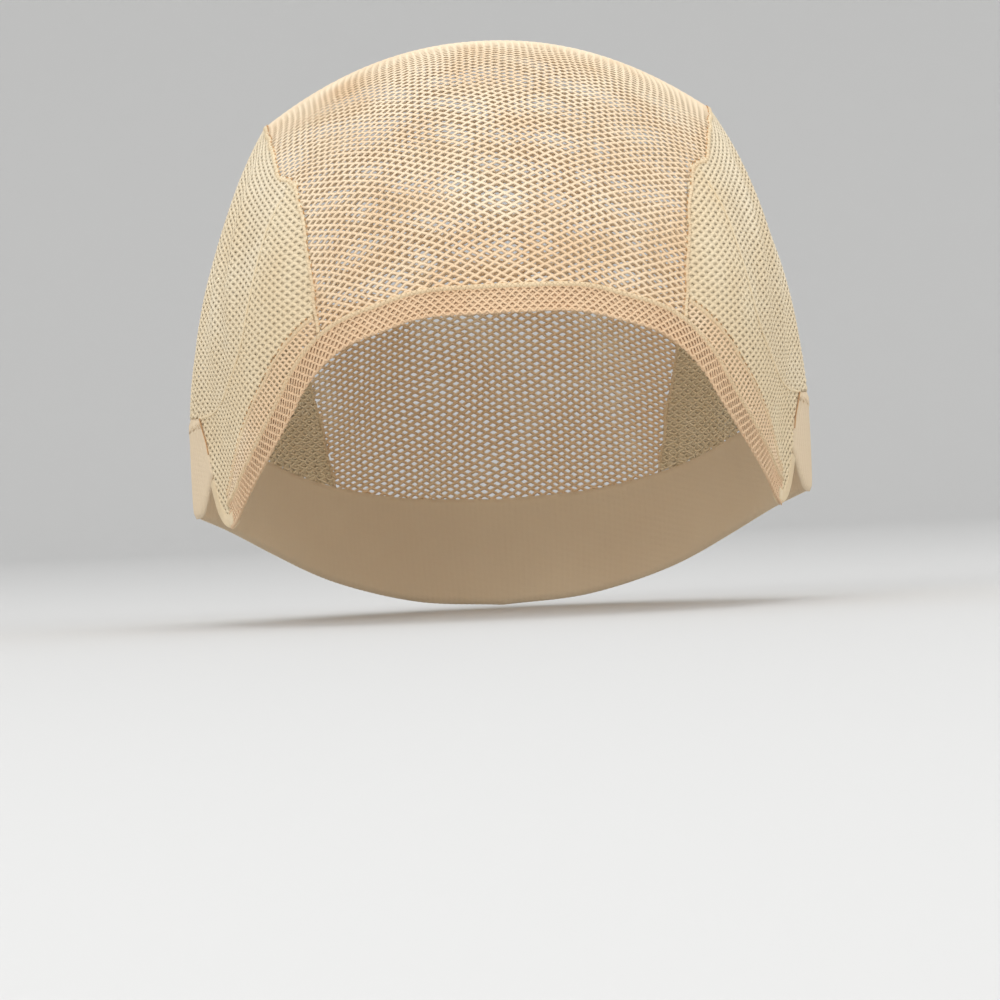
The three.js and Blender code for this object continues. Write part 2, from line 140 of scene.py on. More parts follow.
@dataclass(frozen=True)
class HeadForm:
    """The form that the cap keeps: arches fanned round the ear line, with a swell at the ears.

    The fan's columns are degrees from level at the front, up and over, then the reach in shares of
    crown_height, the arch's power and the crown panel's half width in shares of panel_reach_out.
    """

    crown_height: float = 128.4
    side_reach: float = 77.0
    ear_swell: float = 10.4
    ear_set_back: float = 16.0
    swell_front_run: float = 15.0
    swell_back_run: float = 20.0
    swell_widening: float = 16.0
    swell_top: float = 100.0
    widening_start: float = 20.0
    widening_run: float = 60.0
    plumb_set_back: float = 8.0
    panel_reach_out: float = 62.0
    crown_arch: float = 2.1
    seam_tuck: float = 3.4
    tuck_angle: float = 60.0
    tuck_run: float = 7.0
    tuck_fade: float = 22.0
    halvings: int = 22
    normal_step: float = 0.4
    fan: tuple[tuple[float, float, float, float], ...] = (
        (-45, 0.69, 2.2, 0.8),
        (0, 0.745, 2.2, 0.8),
        (30, 0.806, 2.3, 0.8),
        (50, 0.911, 2.7, 0.86),
        (70, 0.978, 3.2, 0.95),
        (90, 1.0, 3.5, 1.0),
        (110, 1.001, 3.4, 1.0),
        (130, 0.973, 3.0, 0.96),
        (150, 0.911, 2.6, 0.9),
        (170, 0.822, 2.4, 0.8),
        (180, 0.776, 2.3, 0.76),
        (190, 0.732, 2.2, 0.72),
        (215, 0.64, 2.2, 0.7),
    )
    swell_fall: Rows = (
        (-0.5, 1),
        (0.2, 1),
        (0.35, 0.95),
        (0.47, 0.79),
        (0.59, 0.56),
        (0.71, 0.31),
        (0.83, 0.12),
        (0.95, 0.02),
        (1, 0),
    )

    def fan_column(self, column: int, angle: Array) -> Array:
        """One column of the fan, read smoothly at fan angles."""
        rows = np.array(self.fan)
        return smooth_curve(rows[:, 0], rows[:, column], angle)

    def middle_reach(self, angle: Array) -> Array:
        """Ear line out to the cloth in the middle, at fan angles."""
        return self.crown_height * self.fan_column(1, angle)

    def seam_reach(self, angle: Array) -> Array:
        """Half width of the crown panel at fan angles, with the step of the tuck."""
        share = np.clip((angle - self.tuck_angle) / self.tuck_run + 0.5, 0, 1)
        past = share * share * (3 - 2 * share)
        nearness = np.exp(-(((angle - self.tuck_angle) / self.tuck_fade) ** 2))
        return self.panel_reach_out * self.fan_column(3, angle) + self.seam_tuck * (past - 0.5) * nearness

    def arch_reach(self, angle: Array, out: Array) -> Array:
        """Ear line out to the arch, at fan angles and reaches out from the middle."""
        power = self.fan_column(2, angle)
        left = 1 - np.clip(out / self.side_reach, 0, 1) ** power
        return self.middle_reach(angle) * left ** (1 / power)

    def panel_reach(self, angle: Array, share: Array) -> Array:
        """Ear line out to the crown panel's flatter arc, at shares of its half width."""
        middle = self.middle_reach(angle)
        edge = self.arch_reach(angle, self.seam_reach(angle))
        return middle - (middle - edge) * np.abs(share) ** self.crown_arch

    def crown_point(self, angle: Array, share: Array) -> Array:
        """Points of the crown panel at fan angles and shares of its half width."""
        reach, turn = self.panel_reach(angle, share), np.radians(angle)
        across = self.seam_reach(angle) * share
        return np.stack(np.broadcast_arrays(across, -reach * np.cos(turn), reach * np.sin(turn)), axis=-1)

    def swell(self, y: Array, z: Array) -> Array:
        """How far the cloth stands out over the ear."""
        gain = self.swell_widening * np.clip((z - self.widening_start) / self.widening_run, 0, 1)
        behind = y - self.ear_set_back
        spread = np.where(behind < 0, self.swell_front_run, self.swell_back_run) + gain
        rows = np.array(self.swell_fall)
        share = smooth_curve(rows[:, 0], rows[:, 1], z / self.swell_top)
        return self.ear_swell * share * np.exp(-0.5 * (behind / spread) ** 2)

    def fan_angle(self, y: Array, z: Array) -> Array:
        """Fan angle of places in the side view."""
        turned = np.degrees(np.arctan2(z, -y))
        return np.where(turned < -90, turned + 360, turned)

    def is_inside(self, x: Array, y: Array, z: Array, panelled: bool) -> Array:
        """True where places lie inside the form, with or without the crown panel's flatter arc."""
        angle = self.fan_angle(y, z)
        out = np.maximum(np.abs(x) - self.swell(y, z), 0)
        seam = self.seam_reach(angle)
        limit = self.arch_reach(angle, out)
        if panelled:
            limit = np.where(out < seam, self.panel_reach(angle, out / seam), limit)
        return np.hypot(y, z) < limit

    def form_point(self, bearing: Array, height: Array, panelled: bool = True) -> Array:
        """Points of the form at bearings round the plumb line and heights.

        Args:
            bearing: degrees from the middle of the front, round the upright plumb line.
            height: heights over the ear line.
            panelled: whether the crown panel's flatter arc counts.

        Returns:
            The points, with one more axis than the bearings.
        """
        bearing, height = np.broadcast_arrays(np.asarray(bearing, float), np.asarray(height, float))
        turn = np.radians(bearing)
        inside, outside = np.zeros(bearing.shape), np.full(bearing.shape, 2 * self.crown_height)
        for _ in range(self.halvings):
            middle = (inside + outside) / 2
            y = self.plumb_set_back - middle * np.cos(turn)
            within = self.is_inside(middle * np.sin(turn), y, height, panelled)
            inside, outside = np.where(within, middle, inside), np.where(within, outside, middle)
        y = self.plumb_set_back - inside * np.cos(turn)
        return np.stack([inside * np.sin(turn), y, height], axis=-1)

    def form_normal(self, bearing: Array, height: Array, panelled: bool = True) -> Array:
        """Outward normals of the form at bearings and heights."""
        step = self.normal_step
        left, right = (self.form_point(bearing + turn, height, panelled) for turn in (step, -step))
        over, below = (self.form_point(bearing, height + rise, panelled) for rise in (step, -step))
        return unit(np.cross(left - right, over - below))

    def spot_of(self, points: Array) -> Array:
        """Bearings and heights of points, side by side in the last axis."""
        bearing = np.degrees(np.arctan2(points[..., 0], self.plumb_set_back - points[..., 1]))
        return np.stack([bearing, points[..., 2]], axis=-1)

    def panel_share(self, points: Array) -> Array:
        """Shares of the crown panel's half width that points lie out from the middle."""
        return np.abs(points[..., 0]) / self.seam_reach(self.fan_angle(points[..., 1], points[..., 2]))

    def beside(self, line: Array, width: float) -> Array:
        """A line of bearings and heights, moved sideways along the cloth to its left, seen from outside."""
        points = self.form_point(line[:, 0], line[:, 1])
        ahead = np.gradient(points, axis=0)
        sideways = unit(np.cross(self.form_normal(line[:, 0], line[:, 1]), ahead))
        return self.spot_of(points + sideways * width)


@dataclass
class CapLines:
    """Edges and seams of one side of the cap, as lines of bearings and heights on the head form."""

    form: HeadForm
    hairline_height: float = 50.0
    tab_drop: float = 4.5
    nape_drop: float = 31.0
    nape_band_top: float = 26.5
    notch_height: float = 7.5
    lobe_drop: float = 1.5
    nape_band_depth: float = 31.0
    lap_top_height: float = 86.0
    hem_width: float = 6.0
    net_start: float = 7.9
    ear_hem_width: float = 4.0
    samples: int = 241
    past_seam: float = 1.02
    front_rows: Rows = (
        (0, 0), (12, 0.008), (19, 0.06), (25.5, 0.122), (30, 0.206), (34.5, 0.33),
        (38, 0.46), (43, 0.606), (49.5, 0.752), (56, 0.86), (63, 0.95), (70, 1),
    )  # fmt: skip
    tab_seam_rows: Rows = (
        (32.3, -0.02), (38, 0.085), (42.5, 0.19), (46.5, 0.3), (54, 0.47), (62, 0.65), (68, 0.78),
        (71.8, 0.83),
    )  # fmt: skip
    lap_back_rows: Rows = (
        (43.5, 0.04), (46.3, 0.17), (48.5, 0.34), (51, 0.52), (54, 0.68), (59, 0.8), (67, 0.91),
        (76, 0.975), (85.5, 1),
    )  # fmt: skip
    tab_back_rows: Rows = ((70, 0), (74.5, 0.06), (78, 0.27), (80.5, 0.6), (82.5, 1))
    nape_edge_rows: Rows = (
        (80.9, -0.42), (83, -0.31), (85, -0.17), (87.4, -0.04), (91, 0), (98, 0), (109, 0.12), (124, 0.38),
        (142, 0.7), (161, 0.93), (180, 1),
    )  # fmt: skip
    nape_top_rows: Rows = (
        (85.5, 0), (88, 0), (91.5, 0), (96.5, 0.01), (103.5, 0.06), (113, 0.18), (127, 0.42), (144, 0.72),
        (161.5, 0.93), (180, 1),
    )  # fmt: skip
    front_edge: Array = field(init=False)
    tab_seam: Array = field(init=False)
    lap_back: Array = field(init=False)
    tab_back: Array = field(init=False)
    nape_edge: Array = field(init=False)
    nape_top: Array = field(init=False)
    net_edge: Array = field(init=False)
    crown_seam: Array = field(init=False)

    def __post_init__(self) -> None:
        """Works the lines out from their rows."""
        tip, nape = -self.tab_drop, -self.nape_drop
        self.front_edge = self.line_of(self.front_rows, self.hairline_height, tip)
        self.tab_seam = self.line_of(self.tab_seam_rows, self.hairline_height, tip)
        self.lap_back = self.line_of(self.lap_back_rows, self.lap_top_height, self.nape_band_top)
        self.tab_back = self.line_of(self.tab_back_rows, tip, self.notch_height)
        self.nape_edge = self.line_of(self.nape_edge_rows, -self.lobe_drop, nape)
        self.nape_top = self.line_of(self.nape_top_rows, self.nape_band_top, self.nape_band_depth + nape)
        self.net_edge = self.form.beside(self.front_edge, self.net_start)
        self.crown_seam = self.seam_line()

    def line_of(self, rows: Rows, start: float, end: float) -> Array:
        """A line through rows that are evenly spaced along it.

        Args:
            rows: pairs of a bearing and a share of the fall from start to end.
            start: height at a share of 0.
            end: height at a share of 1.

        Returns:
            Bearings and heights, one row for each sample.
        """
        table, places = np.array(rows), np.linspace(0, 1, len(rows))
        at = np.linspace(0, 1, self.samples)
        bearing = smooth_curve(places, table[:, 0], at)
        height = start + (end - start) * smooth_curve(places, table[:, 1], at)
        return np.stack([bearing, height], axis=-1)

    def angle_at_seam(self, line: Array) -> float:
        """Fan angle where a line from the middle meets the crown seam."""
        points = self.form.form_point(line[:, 0], line[:, 1])
        share = self.form.panel_share(points)
        if share[0] > share[-1]:
            share, points = share[::-1], points[::-1]
        until = int(np.argmax(share > self.past_seam)) or len(share)
        angle = self.form.fan_angle(points[:, 1], points[:, 2])
        return float(np.interp(1.0, share[:until], angle[:until]))

    def seam_line(self) -> Array:
        """The crown seam, from the hem to the nape band."""
        front, back = self.angle_at_seam(self.net_edge), self.angle_at_seam(self.nape_top)
        return self.form.spot_of(self.form.crown_point(np.linspace(front, back, self.samples), 1.0))


@dataclass
class ClothChart:
    """A stretch of the head form laid out flat, as a grid of points and outward normals.

    along and across are the rising places of its columns and rows, in millimetres of cloth.
    """

    along: Array
    across: Array
    points: Array
    normals: Array

    @classmethod
    def over(cls, along: Array, across: Array, points: Array) -> "ClothChart":
        """A chart whose normals come from the points themselves."""
        normals = unit(np.cross(np.gradient(points, axis=0), np.gradient(points, axis=1)))
        return cls(along, across, points, normals)

    def at(self, along: Array, across: Array) -> tuple[Array, Array]:
        """Points and normals at places of the chart.

        Args:
            along: places along the rows.
            across: places across them.

        Returns:
            The points and the unit normals.
        """
        a = np.interp(along, self.along, np.arange(len(self.along)))
        b = np.interp(across, self.across, np.arange(len(self.across)))
        i = np.clip(a.astype(int), 0, len(self.along) - 2)
        j = np.clip(b.astype(int), 0, len(self.across) - 2)
        s, t = (a - i)[..., None], (b - j)[..., None]

        def blend(grid: Array) -> Array:
            """Reads a grid between its four nearest corners."""
            low = grid[i, j] * (1 - s) + grid[i + 1, j] * s
            high = grid[i, j + 1] * (1 - s) + grid[i + 1, j + 1] * s
            return low * (1 - t) + high * t

        return blend(self.points), unit(blend(self.normals))


def in_outline(spots: Array, outline: Array) -> Array:
    """True where spots lie inside a closed outline, both as bearings and heights."""
    x, y = spots[..., 0], spots[..., 1]
    inside = np.zeros(x.shape, bool)
    for (x0, y0), (x1, y1) in zip(outline, np.roll(outline, -1, axis=0)):
        if y0 == y1:
            continue
        crosses = (y0 > y) != (y1 > y)
        inside ^= crosses & (x < x0 + (y - y0) * (x1 - x0) / (y1 - y0))
    return inside


@dataclass
class MeshParts:
    """Corners and four-sided faces gathered for one piece, in millimetres."""

    corners: list[Array] = field(default_factory=list)
    faces: list[Array] = field(default_factory=list)
    count: int = 0

    def add(self, corners: Array, faces: Array) -> None:
        """Adds one closed body."""
        self.corners.append(corners)
        self.faces.append(faces + self.count)
        self.count += len(corners)

    def add_tube(
        self,
        points: Array,
        normals: Array,
        width: float | Array,
        depth: float | Array,
        sides: int = 4,
    ) -> None:
        """Adds a closed thread along a row of points.

        Args:
            points: the thread's middle line.
            normals: outward normals of the cloth there.
            width: the thread's width in the cloth, the same all along or for each point.
            depth: its thickness along the normals.
            sides: an even count of faces round it.
        """
        tangent = unit(np.gradient(points, axis=0))
        across = unit(np.cross(tangent, normals))
        out = np.cross(across, tangent)
        turns = 2 * np.pi * np.arange(sides) / sides
        wide = np.broadcast_to(np.asarray(width, float) / 2, (len(points),))[:, None, None]
        thick = np.broadcast_to(np.asarray(depth, float) / 2, (len(points),))[:, None, None]
        ring = across[:, None, :] * np.cos(turns)[None, :, None] * wide
        ring = ring + out[:, None, :] * np.sin(turns)[None, :, None] * thick
        corners = (points[:, None, :] + ring).reshape(-1, 3)
        i = np.arange(len(points) - 1)[:, None] * sides
        j = np.arange(sides)[None, :]
        beyond = (j + 1) % sides
        walls = np.stack([i + j, i + sides + j, i + sides + beyond, i + beyond], axis=-1).reshape(-1, 4)
        k = np.arange(sides // 2 - 1)
        cap = np.stack([np.zeros_like(k), 2 * k + 1, 2 * k + 2, 2 * k + 3], axis=-1)
        last = (len(points) - 1) * sides
        self.add(corners, np.concatenate([walls, cap, cap[:, ::-1] + last]))

    def add_wall(self, outer: Array, inner: Array) -> None:
        """Adds a closed wall between two grids of points that match one to one.

        Args:
            outer: points of the outside, by columns and three rows or more.
            inner: points of the inside, in the same order.
        """
        columns, rows = outer.shape[:2]
        low = columns * rows
        index = np.arange(low).reshape(columns, rows)
        quads = np.stack([index[:-1, :-1], index[1:, :-1], index[1:, 1:], index[:-1, 1:]], axis=-1)
        quads = quads.reshape(-1, 4)
        ring = np.concatenate([index[:-1, 0], index[-1, :-1], index[:0:-1, -1], index[0, :0:-1]])
        beyond = np.roll(ring, -1)
        rim = np.stack([beyond, ring, ring + low, beyond + low], axis=-1)
        faces = np.concatenate([quads, quads[:, ::-1] + low, rim])
        i, j = columns // 2, rows // 2
        ahead, up = outer[i + 1, j] - outer[i, j], outer[i, j + 1] - outer[i, j]
        if np.dot(np.cross(ahead, up), outer[i, j] - inner[i, j]) < 0:
            faces = faces[:, ::-1]
        self.add(np.concatenate([outer.reshape(-1, 3), inner.reshape(-1, 3)]), faces)

    def to_object(self, name: str, material: bpy.types.Material) -> bpy.types.Object:
        """Makes the piece in the row frame.

        Args:
            name: the piece's name.
            material: its finish.

        Returns:
            The new object, linked to the scene.
        """
        corners = np.concatenate(self.corners) - np.array([0.0, 0.0, EAR_LINE_TO_ORIGIN])
        faces = np.concatenate(self.faces)
        mesh = bpy.data.meshes.new(name)
        mesh.vertices.add(len(corners))
        mesh.vertices.foreach_set("co", (corners * METRES).astype(np.float32).ravel())
        mesh.loops.add(faces.size)
        mesh.loops.foreach_set("vertex_index", faces.astype(np.int32).ravel())
        mesh.polygons.add(len(faces))
        mesh.polygons.foreach_set("loop_start", np.arange(0, faces.size, 4, dtype=np.int32))
        mesh.polygons.foreach_set("use_smooth", np.ones(len(faces), bool))
        mesh.update(calc_edges=True)
        mesh.materials.append(material)
        piece = bpy.data.objects.new(name, mesh)
        bpy.context.scene.collection.objects.link(piece)
        return piece


@dataclass(frozen=True)
class NetKnit:
    """Open knitted net: rows of waved strands that touch their neighbours at the crests.

    stitch is the length of one wave and row_step the distance between rows. crest is the share of a wave that
    runs level where two strands lie side by side, and join the distance between their middle lines there.
    slip is the random unevenness and drift the slow one, whose waves are pull_waves long.
    """

    stitch: float = 3.9
    row_step: float = 1.1
    width: float = 0.9
    depth: float = 0.34
    crest: float = 0.16
    join: float = 0.28
    weave: float = 0.07
    slip: float = 0.05
    slip_along: float = 1.4
    drift: float = 0.4
    drift_across: float = 0.5
    pull_phase: float = 0.7
    pull_waves: tuple[float, float, float, float] = (9.1, 7.3, 5.3, 11.0)

    def strands(
        self,
        chart: ClothChart,
        shift: tuple[float, float] = (0.0, 0.0),
        seed: int = 1,
    ) -> tuple[Array, Array]:
        """Middle lines of the strands over a chart.

        Args:
            chart: the cloth to knit over.
            shift: how far the net is moved along and across, in millimetres.
            seed: start of the small unevenness.

        Returns:
            Points and normals, one row for each strand.
        """
        waves = int((chart.along[-1] - chart.along[0]) / self.stitch)
        rows = int((chart.across[-1] - chart.across[0]) / self.row_step) - 1
        shares = np.array([0.0, self.crest, 0.5, 0.5 + self.crest])
        start = np.ceil(chart.along[0] / self.stitch) + np.arange(waves)[:, None]
        turns = (start + shares[None, :]).ravel()
        lifts = np.tile([1.0, 1.0, -1.0, -1.0], waves)
        noise = np.random.default_rng(seed)
        reach = (self.row_step - self.join) / 2
        row = np.arange(rows)
        parity = (row % 2)[:, None]
        along = (turns[None, :] + parity * 0.5) * self.stitch + shift[0]
        base = chart.across[0] + (row[:, None] + 1) * self.row_step + shift[1]
        across = base + lifts[None, :] * reach
        long_a, long_b, skew_a, skew_b = self.pull_waves
        pull = np.sin(along / long_a + self.pull_phase) * np.sin(across / long_b)
        pull = pull + np.sin(along / skew_a - across / skew_b)
        across = across + noise.normal(0, self.slip, across.shape) + pull * self.drift * self.drift_across
        along = along + noise.normal(0, self.slip * self.slip_along, along.shape) + pull[:, ::-1] * self.drift
        points, normals = chart.at(along, across)
        over = (lifts[None, :] * self.weave)[..., None]
        return points + normals * (over - self.depth / 2), normals

    def knit(
        self,
        parts: MeshParts,
        strands: tuple[Array, Array],
        kept: Array,
        side: Side = Side.LEFT,
        sink: float = 0.0,
    ) -> None:
        """Adds the kept stretches of the strands to a piece as closed threads.

        Args:
            parts: the piece to add to.
            strands: points and normals of the strands.
            kept: true for each point that belongs to the piece.
            side: the side of the cap, mirrored for the right.
            sink: how far the net lies under the outside of the cloth.
        """
        points = (strands[0] - strands[1] * sink) * side.flip
        normals = strands[1] * side.flip
        for row in range(len(points)):
            mask = np.concatenate([[False], kept[row], [False]]).astype(int)
            starts, ends = np.flatnonzero(np.diff(mask) == 1), np.flatnonzero(np.diff(mask) == -1)
            for first, last in zip(starts, ends):
                if last - first > 2:
                    parts.add_tube(points[row, first:last], normals[row, first:last], self.width, self.depth)


@dataclass(frozen=True)
class ThreadFinish:
    """Pale spun thread: two tones that drift at random and grow paler toward the crown as painted light from
    above, a soft sheen and fine fibres.
    """

    name: str
    light: tuple[float, float, float]
    dark: tuple[float, float, float]
    drift: float = 45.0
    # How much paler the top of the cap is made: painted light from above.
    climb: float = 0.3
    fibre: float = 1600.0
    roughness: float = 0.68
    sheen: float = 0.35
    relief: float = 0.25
    relief_height: float = 0.0002
    specular: float = 0.35
    painted_top_light_foot: float = -0.09
    dark_until: float = 0.34
    light_from: float = 0.66

    def material(self) -> bpy.types.Material:
        """The finish as a node material.

        Returns:
            The material, made once for each finish.
        """
        found = bpy.data.materials.get(self.name)
        if found:
            return found
        made = bpy.data.materials.new(self.name)
        made.use_nodes = True
        nodes, links = made.node_tree.nodes, made.node_tree.links
        shader = nodes["Principled BSDF"]
        shader.inputs["Roughness"].default_value = self.roughness
        shader.inputs["Sheen Weight"].default_value = self.sheen
        shader.inputs["Sheen Roughness"].default_value = 0.5
        shader.inputs["Sheen Tint"].default_value = (*self.light, 1)
        shader.inputs["Specular IOR Level"].default_value = self.specular
        place = nodes.new("ShaderNodeTexCoord")
        tone = nodes.new("ShaderNodeTexNoise")
        tone.inputs["Scale"].default_value = self.drift
        tone.inputs["Detail"].default_value = 4
        parted = nodes.new("ShaderNodeSeparateXYZ")
        # Paler toward the top of the cap by object height: painted light from above, added to the random
        # tone.
        rise = nodes.new("ShaderNodeMapRange")
        rise.inputs["From Min"].default_value = self.painted_top_light_foot
        rise.inputs["From Max"].default_value = 0.0
        rise.inputs["To Min"].default_value = -self.climb / 2
        rise.inputs["To Max"].default_value = self.climb / 2
        risen = nodes.new("ShaderNodeMath")
        risen.operation = "ADD"
        spread = nodes.new("ShaderNodeValToRGB")
        low, high = spread.color_ramp.elements
        low.position, low.color = self.dark_until, (*self.dark, 1)
        high.position, high.color = self.light_from, (*self.light, 1)
        fibres = nodes.new("ShaderNodeTexNoise")
        fibres.inputs["Scale"].default_value = self.fibre
        fibres.inputs["Detail"].default_value = 3
        bump = nodes.new("ShaderNodeBump")
        bump.inputs["Strength"].default_value = self.relief
        bump.inputs["Distance"].default_value = self.relief_height
        links.new(place.outputs["Object"], tone.inputs["Vector"])
        links.new(place.outputs["Object"], fibres.inputs["Vector"])
        links.new(place.outputs["Object"], parted.inputs["Vector"])
        links.new(parted.outputs["Z"], rise.inputs["Value"])
        links.new(tone.outputs["Fac"], risen.inputs[0])
        links.new(rise.outputs["Result"], risen.inputs[1])
        links.new(risen.outputs["Value"], spread.inputs["Fac"])
        links.new(spread.outputs["Color"], shader.inputs["Base Color"])
        links.new(fibres.outputs["Fac"], bump.inputs["Height"])
        links.new(bump.outputs["Normal"], shader.inputs["Normal"])
        return made


@dataclass(frozen=True)
class KnitElasticFinish(ThreadFinish):
    """Smooth knitted elastic: fine upright ribs over the two tones of the thread."""

    rib: float = 900.0
    rib_depth: float = 0.35
    rib_height: float = 0.00025
    rib_waver: float = 1.2
    rib_waver_scale: float = 2.5

    def material(self) -> bpy.types.Material:
        """The thread finish with its ribs added to the relief.

        Returns:
            The material, made once for each finish.
        """
        found = bpy.data.materials.get(self.name)
        if found:
            return found
        made = super().material()
        nodes, links = made.node_tree.nodes, made.node_tree.links
        shader, fine = nodes["Principled BSDF"], nodes["Bump"]
        place = nodes["Texture Coordinate"]
        ribs = nodes.new("ShaderNodeTexWave")
        ribs.bands_direction = "Z"
        ribs.inputs["Scale"].default_value = self.rib
        ribs.inputs["Distortion"].default_value = self.rib_waver
        ribs.inputs["Detail"].default_value = 2
        ribs.inputs["Detail Scale"].default_value = self.rib_waver_scale
        relief = nodes.new("ShaderNodeBump")
        relief.inputs["Strength"].default_value = self.rib_depth
        relief.inputs["Distance"].default_value = self.rib_height
        links.new(place.outputs["Object"], ribs.inputs["Vector"])
        links.new(ribs.outputs["Fac"], relief.inputs["Height"])
        links.new(fine.outputs["Normal"], relief.inputs["Normal"])
        links.new(relief.outputs["Normal"], shader.inputs["Normal"])
        return made


CROWN_THREAD = ThreadFinish("crown_thread", (0.93, 0.77, 0.56), (0.84, 0.61, 0.385))
SIDE_THREAD = ThreadFinish("side_thread", (0.90, 0.78, 0.575), (0.84, 0.69, 0.465))
LAP_THREAD = ThreadFinish("lap_thread", (0.88, 0.75, 0.53), (0.83, 0.67, 0.44))
HEM_THREAD = ThreadFinish("hem_thread", (0.87, 0.65, 0.43), (0.80, 0.555, 0.345))
SEAM_THREAD = ThreadFinish("seam_thread", (0.86, 0.71, 0.48), (0.76, 0.58, 0.37))
# Dark orange-brown for painted shade: dashes beside the seams and strips in the nape band's creases.
PAINTED_SHADE_DASH = ThreadFinish("painted_shade_dash", (0.66, 0.38, 0.17), (0.55, 0.29, 0.12))
BAND_ELASTIC = KnitElasticFinish(
    "band_elastic", (0.80, 0.65, 0.46), (0.765, 0.61, 0.425), drift=20, climb=0.0, roughness=0.6
)
EAR_BINDING = KnitElasticFinish(
    "ear_binding", (0.87, 0.73, 0.51), (0.82, 0.655, 0.435), drift=20, climb=0.0, roughness=0.65
)


def dress(piece: bpy.types.Object, slot: str, *nodes: str) -> None:
    """Lets a piece ride on the cap, hides the solids that it stands for, and reports it."""
    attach(piece, "root")
    if nodes:
        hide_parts(*nodes)
    LOG.info("%s: %d faces", piece.name, len(piece.data.polygons))


@dataclass
class CrownNet:
    """The wide net panel from the front edge over the crown to the nape band."""

    form: HeadForm
    lines: CapLines
    knit: NetKnit = NetKnit()
    seed: int = 3
    front_angle: float = 29.0
    back_angle: float = 183.0
    tuck_under: float = 0.9
    half_span: float = 76.0
    angle_samples: int = 1200
    share_samples: int = 180
    past_seam: float = 1.06
    front_zone: float = -30.0
    back_zone: float = 40.0

    def chart(self) -> ClothChart:
        """Lays the panel out by cloth lengths from its middle line and from its front.

        Returns:
            The chart, a little larger than the panel.
        """
        angles = np.linspace(self.front_angle, self.back_angle, self.angle_samples)
        middle = self.form.crown_point(angles, 0.0)
        lengths = run_lengths(middle)
        across = np.arange(0, lengths[-1], self.knit.row_step)
        row_angles = np.interp(across, lengths, angles)
        shares = np.linspace(0, self.past_seam, self.share_samples)
        along = np.arange(-self.half_span, self.half_span + 0.1, 1.0)
        rows = []
        for angle in row_angles:
            half = run_lengths(self.form.crown_point(np.full(shares.shape, angle), shares))
            share = np.interp(np.abs(along), half, shares) * np.sign(along)
            rows.append(self.form.crown_point(np.full(share.shape, angle), share))
        return ClothChart.over(along, across, np.stack(rows, axis=1))

    def kept(self, points: Array) -> Array:
        """True where points lie between the seams, the hem and the nape band."""
        spots = self.form.spot_of(points)
        bearing, height = np.abs(spots[..., 0]), spots[..., 1]
        at_front, at_back = points[..., 1] < self.front_zone, points[..., 1] > self.back_zone
        hem = np.interp(bearing, self.lines.net_edge[:, 0], self.lines.net_edge[:, 1])
        nape = np.interp(bearing, self.lines.nape_top[:, 0], self.lines.nape_top[:, 1])
        above_hem = ~at_front | (height > hem - self.tuck_under)
        above_nape = ~at_back | (height > nape - self.tuck_under)
        return (self.form.panel_share(points) < 1.0) & above_hem & above_nape

    def build(self) -> None:
        """Knits the panel in three pieces, from the front to the back."""
        strands = self.knit.strands(self.chart(), seed=self.seed)
        kept = self.kept(strands[0])
        thirds = np.array_split(np.arange(len(kept)), 3)
        for label, rows in zip(("front", "top", "back"), thirds):
            parts = MeshParts()
            self.knit.knit(parts, (strands[0][rows], strands[1][rows]), kept[rows])
            piece = parts.to_object(f"crown_net_{label}", CROWN_THREAD.material())
            dress(piece, "crown_net", "crown_panel")


